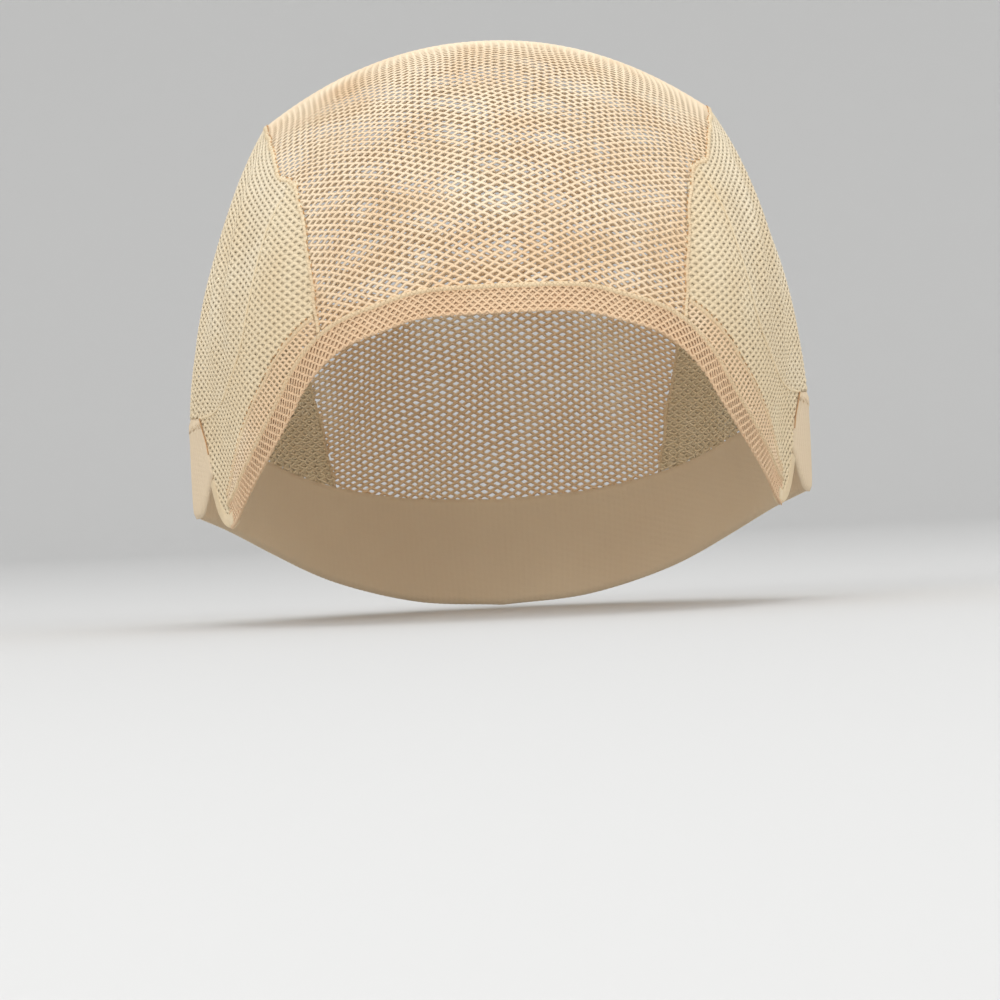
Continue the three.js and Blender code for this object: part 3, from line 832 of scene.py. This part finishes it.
@dataclass
class SideCloth:
    """The cloth beside the crown seam, which the side panel, the lap and the ear tab are cut from.

    A fold has its bearing, its width in degrees and its share of fold_height. The under_ lengths say how far
    a net reaches under what binds it.
    """

    form: HeadForm
    lines: CapLines
    lowest: float = -12.0
    highest: float = 112.0
    front_bearing: float = 24.0
    back_bearing: float = 158.0
    middle_height: float = 52.0
    fold_height: float = 1.6
    folds: tuple[tuple[float, float, float], ...] = (
        (60, 3.4, 0.9),
        (72, 3.6, 1),
        (86, 4.2, 0.7),
        (118, 5, 0.6),
    )
    gathers_per_degree: float = 0.42
    gather_depth: float = 0.45
    gather_height: float = 6.0
    gather_start: float = 80.0
    gather_run: float = 8.0
    gather_drift: float = 7.0
    grid_step: float = 0.5
    cloth_foot: float = -11.0
    cloth_head: float = 150.0
    under_roll: float = 0.6
    under_lap: float = 1.6
    under_binding: float = 1.2
    under_band: float = 0.9
    under_ridge: float = 0.9
    tip_samples: int = 4
    seam_turn: float = 90.0

    def fold_lift(self, bearing: Array, height: Array) -> Array:
        """How far the soft folds and the gathers over the nape band stand out.

        Args:
            bearing: degrees from the middle of the front.
            height: heights over the ear line.

        Returns:
            The lift over the head form, in millimetres.
        """
        foot_bearing = np.concatenate([self.lines.lap_back[:-1, 0], self.lines.nape_top[:, 0]])
        foot_height = np.concatenate([self.lines.lap_back[:-1, 1], self.lines.nape_top[:, 1]])
        foot = np.interp(bearing, foot_bearing, foot_height)
        head = np.interp(bearing, self.lines.crown_seam[:, 0], self.lines.crown_seam[:, 1])
        share = np.clip((height - foot) / np.maximum(head - foot, 1), 0, 1)
        crests = sum(s * np.exp(-(((bearing - b) / w) ** 2)) for b, w, s in self.folds)
        over_band = np.clip((bearing - self.gather_start) / self.gather_run, 0, 1)
        over_band = over_band * np.exp(-np.abs(height - foot) / self.gather_height)
        drift = 2 * np.sin(bearing / self.gather_drift)
        gathers = np.cos(bearing * self.gathers_per_degree * 2 * np.pi + drift)
        return self.fold_height * crests * np.sin(np.pi * share) + self.gather_depth * gathers * over_band

    def chart(self) -> ClothChart:
        """Lays the side out by lengths round it at mid height and lengths up it.

        Returns:
            The chart, a little larger than the cloth.
        """
        bearings = np.arange(self.front_bearing, self.back_bearing, self.grid_step)
        heights = np.arange(self.lowest, self.highest, self.grid_step)
        columns = self.form.form_point(bearings[:, None], heights[None, :], panelled=False)
        steps = np.linalg.norm(np.diff(columns, axis=1), axis=-1)
        lengths = np.concatenate([np.zeros((len(bearings), 1)), np.cumsum(steps, axis=1)], axis=1)
        level = np.argmin(np.abs(heights - self.middle_height))
        along = run_lengths(columns[:, level])
        start = np.argmin(np.abs(heights))
        lengths = lengths - lengths[:, start : start + 1]
        across = np.arange(self.cloth_foot, self.cloth_head, 1.0)
        reached = np.stack([np.interp(across, own, heights) for own in lengths])
        points = self.form.form_point(bearings[:, None], reached, panelled=False)
        lift = self.fold_lift(bearings[:, None], reached)
        normals = unit(np.cross(np.gradient(points, axis=0), np.gradient(points, axis=1)))
        return ClothChart.over(along, across, points + normals * lift[..., None])

    def side_outline(self) -> Array:
        """Outline of the side panel, which reaches under the seam's roll and the lap."""
        seam = self.form.beside(self.lines.crown_seam, self.under_roll)
        back = self.form.beside(self.lines.lap_back, -self.under_lap)
        top = int(np.argmin(np.abs(seam[:, 0] - back[0, 0])))
        nape = self.lines.nape_top[self.lines.nape_top[:, 0] < seam[-1, 0]]
        return np.concatenate([back, nape[1:], seam[top:][::-1]])

    def binding_line(self) -> Array:
        """Where the nets end under the ear hem's binding."""
        return self.form.beside(self.lines.tab_back, self.lines.ear_hem_width - self.under_binding)

    def lap_outline(self) -> Array:
        """Outline of the doubled lap, between the tab seam and its back line."""
        tab, back = self.lines.tab_seam, self.lines.lap_back
        seam = self.form.beside(self.lines.crown_seam, self.under_roll)
        head = seam[(seam[:, 1] > tab[0, 1]) & (seam[:, 0] < back[0, 0])]
        under_band = np.stack([self.lines.nape_edge[0], back[-1]]) + np.array([self.under_band, 0.0])
        return np.concatenate([head[::-1], tab, self.binding_line(), under_band, back[::-1]])

    def tab_outline(self) -> Array:
        """Outline of the ear tab's net, between the hem and the tab seam."""
        edge = self.form.beside(self.lines.front_edge, self.lines.net_start - self.under_ridge)
        seam, tab = self.lines.crown_seam, self.lines.tab_seam
        low = seam[(seam[:, 1] < tab[0, 1]) & (seam[:, 0] < self.seam_turn)]
        tip = self.binding_line()[: self.tip_samples]
        return np.concatenate([edge[edge[:, 0] > low[0, 0]], tip, tab[::-1], low[::-1]])


@dataclass
class SidePanels:
    """The net panels over the temples and behind the ears."""

    cloth: SideCloth
    outer: NetKnit = NetKnit(width=1.42, depth=0.3, join=0.4, drift=0.3)
    lining: NetKnit = NetKnit(width=0.9, depth=0.3, join=0.36, drift=0.3)
    lining_shift: tuple[float, float] = (1.95, 0.0)
    under: float = 0.3
    seeds: tuple[int, int] = (5, 6)

    def build(self) -> None:
        """Knits both side panels, each with its finer lining."""
        chart, outline = self.cloth.chart(), self.cloth.side_outline()
        top = self.outer.strands(chart, seed=self.seeds[0])
        low = self.lining.strands(chart, shift=self.lining_shift, seed=self.seeds[1])
        kept_top = in_outline(self.cloth.form.spot_of(top[0]), outline)
        kept_low = in_outline(self.cloth.form.spot_of(low[0]), outline)
        for side in Side:
            parts = MeshParts()
            self.outer.knit(parts, top, kept_top, side)
            self.lining.knit(parts, low, kept_low, side, sink=self.under)
            piece = parts.to_object(f"side_net_{side.label}", SIDE_THREAD.material())
            dress(piece, "side_net", f"side_panel_{side.label}")


@dataclass
class LapPanels:
    """The doubled laps in front of the ears: two layers of net, which leave few holes."""

    cloth: SideCloth
    outer: NetKnit = NetKnit(width=1.45, depth=0.3, join=0.4)
    inner: NetKnit = NetKnit(width=1.5, depth=0.3, join=0.34)
    inner_shift: tuple[float, float] = (1.95, 0.0)
    under: float = 0.3
    seeds: tuple[int, int] = (7, 8)
    edge_thread: float = 0.8
    edge_depth: float = 0.6
    edge_sunk: float = 0.05
    edge_samples: int = 150

    def build(self) -> None:
        """Knits both laps and rolls their back edges."""
        chart, outline = self.cloth.chart(), self.cloth.lap_outline()
        top = self.outer.strands(chart, seed=self.seeds[0])
        low = self.inner.strands(chart, shift=self.inner_shift, seed=self.seeds[1])
        kept_top = in_outline(self.cloth.form.spot_of(top[0]), outline)
        kept_low = in_outline(self.cloth.form.spot_of(low[0]), outline)
        line = resampled(self.cloth.lines.lap_back, self.edge_samples)
        edge = self.cloth.form.form_point(line[:, 0], line[:, 1], panelled=False)
        normals = self.cloth.form.form_normal(line[:, 0], line[:, 1], panelled=False)
        edge = edge + normals * self.cloth.fold_lift(line[:, 0], line[:, 1])[:, None]
        edge = edge - normals * self.edge_sunk
        for side in Side:
            parts = MeshParts()
            self.outer.knit(parts, top, kept_top, side)
            self.inner.knit(parts, low, kept_low, side, sink=self.under)
            flip = side.flip
            parts.add_tube(edge * flip, normals * flip, self.edge_thread, self.edge_depth, sides=6)
            piece = parts.to_object(f"lap_net_{side.label}", LAP_THREAD.material())
            dress(piece, "lap_net", f"lap_panel_{side.label}")


@dataclass
class EarTabs:
    """The strips of close net between the hem and the tab seam, down to the tips of the ear tabs."""

    cloth: SideCloth
    knit: NetKnit = NetKnit(stitch=2.9, row_step=1.0, width=0.95, depth=0.3, join=0.4, drift=0.15)
    seed: int = 9

    def build(self) -> None:
        """Knits both tabs."""
        strands = self.knit.strands(self.cloth.chart(), seed=self.seed)
        kept = in_outline(self.cloth.form.spot_of(strands[0]), self.cloth.tab_outline())
        for side in Side:
            parts = MeshParts()
            self.knit.knit(parts, strands, kept, side)
            piece = parts.to_object(f"tab_net_{side.label}", CROWN_THREAD.material())
            dress(piece, "crown_net", f"ear_tab_{side.label}")


@dataclass
class FrontHem:
    """The front edge: a band of net folded double, its looped edge and the stitched ridge on its top."""

    form: HeadForm
    lines: CapLines
    outer: NetKnit = NetKnit(stitch=2.3, row_step=1.02, width=0.78, depth=0.34, join=0.38, drift=0.12)
    inner: NetKnit = NetKnit(stitch=2.3, row_step=1.02, width=0.95, depth=0.34, join=0.38, drift=0.12)
    inner_shift: tuple[float, float] = (1.15, 0.1)
    seeds: tuple[int, int] = (11, 12)
    fold_gap: float = 0.4
    past_edge: float = -1.0
    past_top: float = 8.1
    middle_row: int = 4
    samples: int = 260
    loop_length: float = 2.2
    loop_depth: float = 0.4
    loop_rest: float = 0.6
    loop_sunk: float = 0.5
    loop_width: float = 0.62
    loop_height: float = 0.95
    ridge_place: float = 0.95
    ridge_width: float = 1.5
    ridge_depth: float = 1.2
    ridge_sunk: float = 0.25
    ridge_samples: int = 420
    ridge_waves: Rows = ((0.07, 1.1), (0.05, 7.3))
    zigzag_step: float = 1.5
    zigzag_swing: float = 0.5
    zigzag_lift: float = 0.34
    zigzag_pulse: float = 0.05
    zigzag_width: float = 0.3
    zigzag_depth: float = 0.24

    def edge_line(self, width: float, count: int) -> tuple[Array, Array]:
        """The front edge moved up by a width, from the right tab's tip to the left one's.

        Args:
            width: distance from the edge, along the cloth.
            count: points on each side of the middle.

        Returns:
            Points and normals, evenly spaced.
        """
        half = self.form.beside(self.lines.front_edge, width) if width else self.lines.front_edge
        half = half.copy()
        half[0, 0] = 0.0
        points = self.form.form_point(half[:, 0], half[:, 1])
        lengths = run_lengths(points)
        even = np.linspace(0, lengths[-1], count)
        bearing, height = read_along(half, lengths, even).T
        points = self.form.form_point(bearing, height)
        normals = self.form.form_normal(bearing, height)
        flip = Side.RIGHT.flip
        both = np.concatenate([(points * flip)[:0:-1], points])
        return both, unit(np.concatenate([(normals * flip)[:0:-1], normals]))

    def chart(self) -> ClothChart:
        """Lays the hem out by lengths along its middle and distances from its edge."""
        across = np.arange(self.past_edge, self.past_top, 1.0)
        rows = [self.edge_line(width, self.samples)[0] for width in across]
        along = run_lengths(rows[self.middle_row])
        return ClothChart.over(along - along[-1] / 2, across, np.stack(rows, axis=1))

    def build(self) -> None:
        """Knits the hem and stitches its ridge."""
        chart = self.chart()
        parts = MeshParts()
        length = chart.along[-1]
        top = self.outer.strands(chart, seed=self.seeds[0])
        low = self.inner.strands(chart, shift=self.inner_shift, seed=self.seeds[1])
        self.outer.knit(parts, top, np.ones(top[0].shape[:2], bool))
        self.inner.knit(parts, low, np.ones(low[0].shape[:2], bool), sink=self.fold_gap)
        count = int(2 * length / self.loop_length) * 4 + 1
        points, normals = self.edge_line(0.0, count)
        sideways = unit(np.cross(normals, np.gradient(points, axis=0)))
        swing = np.abs(np.sin(np.pi * run_lengths(points) / self.loop_length))
        loops = points + sideways * (self.loop_depth * (self.loop_rest - swing))[:, None]
        parts.add_tube(loops - normals * self.loop_sunk, normals, self.loop_width, self.loop_height)
        piece = parts.to_object("front_hem_net", HEM_THREAD.material())
        dress(piece, "hem_net", "front_hem")
        self.build_ridge()

    def build_ridge(self) -> None:
        """Makes the ridge above the hem, with its zigzag stitches."""
        parts = MeshParts()
        place = self.lines.hem_width + self.ridge_place
        points, normals = self.edge_line(place, self.ridge_samples)
        lengths = run_lengths(points)
        swell = 1 + sum(gain * np.sin(2 * np.pi * lengths / wave) for gain, wave in self.ridge_waves)
        core = points - normals * self.ridge_sunk
        parts.add_tube(core, normals, self.ridge_width * swell, self.ridge_depth * swell, sides=8)
        count = int(lengths[-1] / self.zigzag_step) * 4 + 1
        line, out = self.edge_line(place, count // 2)
        sideways = unit(np.cross(out, np.gradient(line, axis=0)))
        turn = 2 * np.pi * run_lengths(line) / self.zigzag_step
        lift = self.zigzag_lift + self.zigzag_pulse * np.cos(2 * turn)
        thread = line + sideways * (self.zigzag_swing * np.sin(turn))[:, None] + out * lift[:, None]
        parts.add_tube(thread, out, self.zigzag_width, self.zigzag_depth)
        piece = parts.to_object("hem_ridge", SEAM_THREAD.material())
        dress(piece, "seam_stitch", "hem_stitching")


@dataclass
class OverlockedSeam:
    """A raised seam: rolled cloth with an overlocking thread wound round it, small puckers, and a row of dark
    dashes beside it as painted shade.
    """

    form: HeadForm
    line: Array
    name: str
    nodes_name: str
    width: float = 1.15
    depth: float = 0.9
    sunk: float = 0.3
    winding: float = 1.6
    pucker: float = 0.4
    thread: float = 0.5
    # The dash settings lay short dark strips beside the seam: painted shade along its side.
    dash_step: float = 2.3
    dash_length: float = 0.95
    dash_place: float = 0.85
    dash_inset: float = 2.0
    dash_shares: tuple[float, float] = (0.5, 1.1)
    dash_points: int = 4
    dash_lift: float = 0.35
    dash_width: float = 0.36
    dash_depth: float = 0.3
    thread_flatness: float = 0.8
    swell: float = 0.08
    rough_window: int = 33
    rough_gain: float = 4.0
    turn_points: int = 8
    core_step: int = 4
    samples: int = 400
    seed: int = 21

    def build(self) -> None:
        """Makes the seam on both sides of the cap."""
        spots = resampled(self.line, self.samples)
        lengths = run_lengths(self.form.form_point(spots[:, 0], spots[:, 1]))
        count = int(lengths[-1] / self.winding * self.turn_points)
        even = np.linspace(0, lengths[-1], count)
        bearing, height = read_along(spots, lengths, even).T
        points = self.form.form_point(bearing, height)
        normals = self.form.form_normal(bearing, height)
        noise = np.random.default_rng(self.seed)
        window = np.ones(self.rough_window) / self.rough_window
        rough = np.convolve(noise.normal(0, 1, count + self.rough_window - 1), window, mode="valid")
        rough = rough[:count] * self.rough_gain
        sideways = unit(np.cross(normals, np.gradient(points, axis=0)))
        core = points + sideways * (self.pucker * rough)[:, None] - normals * self.sunk
        swell = 1 + self.swell * rough
        turn = 2 * np.pi * even / self.winding
        around = sideways * (np.cos(turn) * self.width * 0.5 * swell)[:, None]
        around = around + normals * (np.sin(turn) * self.depth * 0.5 * swell)[:, None]
        few = slice(None, None, self.core_step)
        wide, deep = self.width * swell[few], self.depth * swell[few]
        beside = core + sideways * self.dash_place + normals * self.dash_lift
        for side in Side:
            parts, shade_dashes = MeshParts(), MeshParts()
            flip = side.flip
            parts.add_tube(core[few] * flip, normals[few] * flip, wide, deep, sides=8)
            wound = self.thread * self.thread_flatness
            parts.add_tube((core + around) * flip, unit(around) * flip, self.thread, wound)
            piece = parts.to_object(f"{self.name}_{side.label}", SEAM_THREAD.material())
            dress(piece, "seam_stitch", f"{self.nodes_name}_{side.label}")
            # Short dark strips beside the seam: painted shade, not thread.
            for start in np.arange(self.dash_inset, lengths[-1] - self.dash_inset, self.dash_step):
                reach = self.dash_length * noise.uniform(*self.dash_shares)
                own = np.linspace(start, start + reach, self.dash_points)
                run = read_along(beside * flip, even, own)
                out = unit(read_along(normals * flip, even, own))
                shade_dashes.add_tube(run, out, self.dash_width, self.dash_depth)
            piece = shade_dashes.to_object(f"{self.name}_dashes_{side.label}", PAINTED_SHADE_DASH.material())
            dress(piece, "seam_stitch", f"{self.nodes_name}_{side.label}")


@dataclass
class NapeBand:
    """The smooth elastic band round the nape, gathered along its top, with a lobe behind each ear."""

    form: HeadForm
    lines: CapLines
    wall: float = 1.5
    rise: float = 0.3
    gather_step: float = 2.7
    gather_depth: float = 0.28
    gather_slip: float = 0.07
    gather_fade: float = 0.16
    gather_inset: float = 3.0
    edge_sharpness: float = 12.0
    end_round: float = 1.8
    round_depth: float = 0.55
    inner_round: float = 0.8
    stitch_step: float = 1.8
    stitch_swing: float = 0.7
    stitch_lift: float = 0.1
    stitch_width: float = 0.3
    stitch_row: int = -3
    rib_step: float = 1.7
    rib_depth: float = 0.07
    # The crease settings lay dark strips on the band's ends: painted shade of the creases there.
    crease_columns: tuple[int, int] = (1, -2)
    crease_widths: tuple[float, float] = (0.3, 0.75)
    crease_lift: float = 0.25
    crease_depth: float = 0.3
    columns: int = 901
    rows: int = 18
    seed: int = 31

    def grid(self) -> tuple[Array, Array, Array]:
        """Works out the band's cloth.

        Returns:
            Points, normals and the distance of each column along the band.
        """
        half = self.columns // 2 + 1
        foot, head = resampled(self.lines.nape_edge, half), resampled(self.lines.nape_top, half)
        share = np.linspace(0, 1, self.rows)[None, :, None]
        spots = foot[:, None, :] * (1 - share) + head[:, None, :] * share
        spots[-1, :, 0] = 180.0
        points = self.form.form_point(spots[..., 0], spots[..., 1])
        normals = self.form.form_normal(spots[..., 0], spots[..., 1])
        flip = Side.RIGHT.flip
        points = np.concatenate([points, (points * flip)[-2::-1]])
        normals = np.concatenate([normals, (normals * flip)[-2::-1]])
        return points, normals, run_lengths(points[:, self.rows // 2])

    def build(self) -> None:
        """Makes the band with its gathers and its row of stitches."""
        points, normals, along = self.grid()
        share = np.linspace(0, 1, self.rows)[None, :]
        noise = np.random.default_rng(self.seed)
        phase = np.cumsum(noise.normal(0, self.gather_slip, len(along)))[:, None]
        gathers = np.sin(2 * np.pi * along[:, None] / self.gather_step + phase)
        gathers = gathers * np.exp(-(((1 - share) / self.gather_fade) ** 2))
        ends = np.minimum(along, along[-1] - along)[:, None]
        edge = np.minimum(np.minimum(share, 1 - share) * self.edge_sharpness, ends / self.end_round)
        rounding = self.round_depth * (1 - np.clip(edge, 0, 1)) ** 2
        ribs = self.rib_depth * np.cos(2 * np.pi * along[:, None] / self.rib_step)
        gathered = self.gather_depth * gathers * np.clip(ends / self.gather_inset, 0, 1)
        outer = points + normals * (self.rise + gathered - rounding + ribs)[..., None]
        depth = self.wall - self.rise - rounding * self.inner_round + ribs
        parts = MeshParts()
        parts.add_wall(outer, points - normals * depth[..., None])
        self.add_stitches(parts, points[:, self.stitch_row], normals[:, self.stitch_row])
        piece = parts.to_object("nape_elastic", BAND_ELASTIC.material())
        dress(piece, "elastic", "nape_band")
        self.build_crease_shade(points, normals)

    def add_stitches(self, parts: MeshParts, line: Array, normals: Array) -> None:
        """Adds the waved thread that holds the gathers.

        Args:
            parts: the piece to add to.
            line: points of the cloth along the row of stitches.
            normals: outward normals there.
        """
        lengths = run_lengths(line)
        even = np.linspace(lengths[4], lengths[-5], int(lengths[-1] / self.stitch_step * 4))
        line = read_along(line, lengths, even)
        out = unit(read_along(normals, lengths, even))
        up = unit(np.cross(out, np.gradient(line, axis=0)))
        turn = 2 * np.pi * even / self.stitch_step
        swing, lift = self.stitch_swing * np.sin(turn), self.rise + self.stitch_lift
        thread = line + up * swing[:, None] + out * lift
        parts.add_tube(thread, out, self.stitch_width, self.stitch_width)

    def build_crease_shade(self, points: Array, normals: Array) -> None:
        """Makes the painted shade of the crease down each end of the band, behind the ear notch: dark strips
        laid on the band.
        """
        crease_shade_strips = MeshParts()
        for column in self.crease_columns:
            run, out = points[column, self.rows // 3 :], normals[column, self.rows // 3 :]
            width = np.linspace(*self.crease_widths, len(run))
            crease_shade_strips.add_tube(run + out * self.crease_lift, out, width, self.crease_depth)
        piece = crease_shade_strips.to_object("nape_crease_shade", PAINTED_SHADE_DASH.material())
        dress(piece, "seam_stitch", "nape_band")


@dataclass
class EarHems:
    """The ribbed bindings round the tips of the ear tabs and up to the notches."""

    form: HeadForm
    lines: CapLines
    wall: float = 1.8
    rise: float = 0.15
    round_depth: float = 0.6
    edge_sharpness: float = 5.0
    front_bearing: float = 66.0
    rib_depth: float = 0.1
    ribs: int = 52
    columns: int = 277
    rows: int = 9

    def build(self) -> None:
        """Makes both hems, rounded along their edges."""
        edge = self.lines.front_edge[self.lines.front_edge[:, 0] > self.front_bearing]
        path = resampled(np.concatenate([edge, self.lines.tab_back[1:]]), self.columns)
        foot, head = path, self.form.beside(path, self.lines.ear_hem_width)
        share = np.linspace(0, 1, self.rows)[None, :, None]
        spots = foot[:, None, :] * (1 - share) + head[:, None, :] * share
        points = self.form.form_point(spots[..., 0], spots[..., 1], panelled=False)
        normals = self.form.form_normal(spots[..., 0], spots[..., 1], panelled=False)
        edge = np.clip(np.minimum(share[..., 0], 1 - share[..., 0]) * self.edge_sharpness, 0, 1)
        rounding = np.broadcast_to(self.round_depth * (1 - edge) ** 2, points.shape[:2])
        ribs = self.rib_depth * np.cos(2 * np.pi * self.ribs * np.linspace(0, 1, self.columns))[:, None]
        outer = points - normals * (rounding - self.rise - ribs)[..., None]
        inner = points - normals * (self.wall - rounding + ribs)[..., None]
        for side in Side:
            parts = MeshParts()
            parts.add_wall(outer * side.flip, inner * side.flip)
            piece = parts.to_object(f"ear_hem_elastic_{side.label}", EAR_BINDING.material())
            dress(piece, "elastic", f"ear_hem_{side.label}")


@dataclass(frozen=True)
class SoftPanel:
    """One soft square light: its place and side in metres, and its power in watts."""

    name: str
    place: tuple[float, float, float]
    size: float
    power: float


@dataclass
class Studio:
    """Camera, floor and soft light, in metres.

    scale is the photograph's pixels a millimetre at the ear line.
    """

    distance: float = 1.6
    scale: float = 3.574
    yaw: float = -1.2
    roll: float = -2.6
    floor_reach: float = 3.0
    floor_bend: float = 1.2
    wall_height: float = 2.4
    floor_gap: float = 0.0006
    floor_sides: int = 64
    floor_rings: tuple[float, float] = (0.5, 1.5)
    floor_colour: tuple[float, float, float, float] = (0.62, 0.62, 0.615, 1.0)
    floor_roughness: float = 0.9
    bend_points: int = 13
    sensor_width: float = 36.0
    far_clip: float = 50.0
    light_aim: tuple[float, float, float] = (0.0, 0.0, -0.07)
    panels: tuple[SoftPanel, ...] = (
        SoftPanel("key_light", (-1.0, -1.9, 0.9), 1.0, 15.0),
        SoftPanel("fill_light", (1.5, -1.6, 0.6), 1.2, 9.0),
        SoftPanel("top_light", (0.1, -0.2, 1.8), 1.2, 7.0),
    )
    aim: tuple[float, float, float] = (-0.0012, 0.0, -EAR_LINE_TO_ORIGIN * METRES)

    def place_camera(self) -> None:
        """Sets the camera level with the ear line, as the photograph was taken."""
        data = bpy.data.cameras.new("front_camera")
        data.sensor_width = self.sensor_width
        data.lens = self.distance * self.scale * data.sensor_width
        data.clip_end = self.far_clip
        camera = bpy.data.objects.new("front_camera", data)
        bpy.context.scene.collection.objects.link(camera)
        turn = math.radians(self.yaw)
        target = Vector(self.aim)
        back = Vector((math.sin(turn), -math.cos(turn), 0))
        camera.location = target + back * self.distance
        level = (-back).to_track_quat("-Z", "Y")
        camera.rotation_mode = "QUATERNION"
        camera.rotation_quaternion = level @ Quaternion((0, 0, 1), math.radians(self.roll))
        bpy.context.scene.camera = camera

    def lay_floor(self, height: float) -> None:
        """Lays a plain pale floor just under the cap, which curves up into a round wall far out.

        Args:
            height: the floor's height in the row frame, in metres.
        """
        bend = np.linspace(0, math.pi / 2, self.bend_points)
        reach = np.concatenate([self.floor_rings, self.floor_reach + self.floor_bend * np.sin(bend)])
        rise = np.concatenate([[0.0, 0.0], self.floor_bend * (1 - np.cos(bend))])
        reach, rise = np.append(reach, reach[-1]), np.append(rise, self.wall_height)
        sides = self.floor_sides
        turns = np.linspace(0, 2 * math.pi, sides + 1)[:-1]
        corners = [(0.0, 0.0, height)]
        for r, z in zip(reach, rise):
            corners += [(r * math.cos(t), r * math.sin(t), height + z) for t in turns]
        pairs = [(k, (k + 1) % sides) for k in range(sides)]
        faces = [(0, 1 + k, 1 + n) for k, n in pairs]
        for ring in range(len(reach) - 1):
            low, high = 1 + ring * sides, 1 + (ring + 1) * sides
            faces += [(low + k, high + k, high + n, low + n) for k, n in pairs]
        mesh = bpy.data.meshes.new("floor")
        mesh.from_pydata(corners, [], faces)
        mesh.polygons.foreach_set("use_smooth", [True] * len(faces))
        floor = bpy.data.objects.new("floor", mesh)
        made = bpy.data.materials.new("pale_floor")
        made.use_nodes = True
        shader = made.node_tree.nodes["Principled BSDF"]
        shader.inputs["Base Color"].default_value = self.floor_colour
        shader.inputs["Roughness"].default_value = self.floor_roughness
        mesh.materials.append(made)
        bpy.context.scene.collection.objects.link(floor)
        floor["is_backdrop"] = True

    def add_panel(self, panel: SoftPanel) -> None:
        """Adds one soft square light that faces the cap."""
        data = bpy.data.lights.new(panel.name, "AREA")
        data.size, data.energy = panel.size, panel.power
        light = bpy.data.objects.new(panel.name, data)
        light.location = panel.place
        light.rotation_mode = "QUATERNION"
        light.rotation_quaternion = (Vector(self.light_aim) - light.location).to_track_quat("-Z", "Y")
        bpy.context.scene.collection.objects.link(light)

    def light(self) -> None:
        """Fills the room with pale light and adds three soft panels."""
        scene = bpy.context.scene
        scene.view_settings.view_transform = "Standard"
        world = bpy.data.worlds.new("pale_room")
        world.use_nodes = True
        background = world.node_tree.nodes["Background"]
        background.inputs["Color"].default_value = (1, 1, 1, 1)
        background.inputs["Strength"].default_value = 1.0
        scene.world = world
        for panel in self.panels:
            self.add_panel(panel)


def main() -> None:
    """Builds the cap and the studio round it."""
    logging.basicConfig(level=logging.INFO, format="%(name)s %(message)s")
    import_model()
    solid_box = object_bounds()
    studio = Studio()
    studio.place_camera()
    form = HeadForm()
    lines = CapLines(form)
    cloth = SideCloth(form, lines)
    CrownNet(form, lines).build()
    SidePanels(cloth).build()
    LapPanels(cloth).build()
    EarTabs(cloth).build()
    FrontHem(form, lines).build()
    OverlockedSeam(form, lines.crown_seam, "crown_seam_roll", "crown_seam").build()
    OverlockedSeam(
        form, lines.tab_seam, "tab_seam_roll", "tab_seam", winding=1.3, pucker=0.1, seed=22
    ).build()
    NapeBand(form, lines).build()
    EarHems(form, lines).build()
    studio.lay_floor(solid_box[0].z - studio.floor_gap)
    studio.light()


if __name__ == "__main__":
    main()
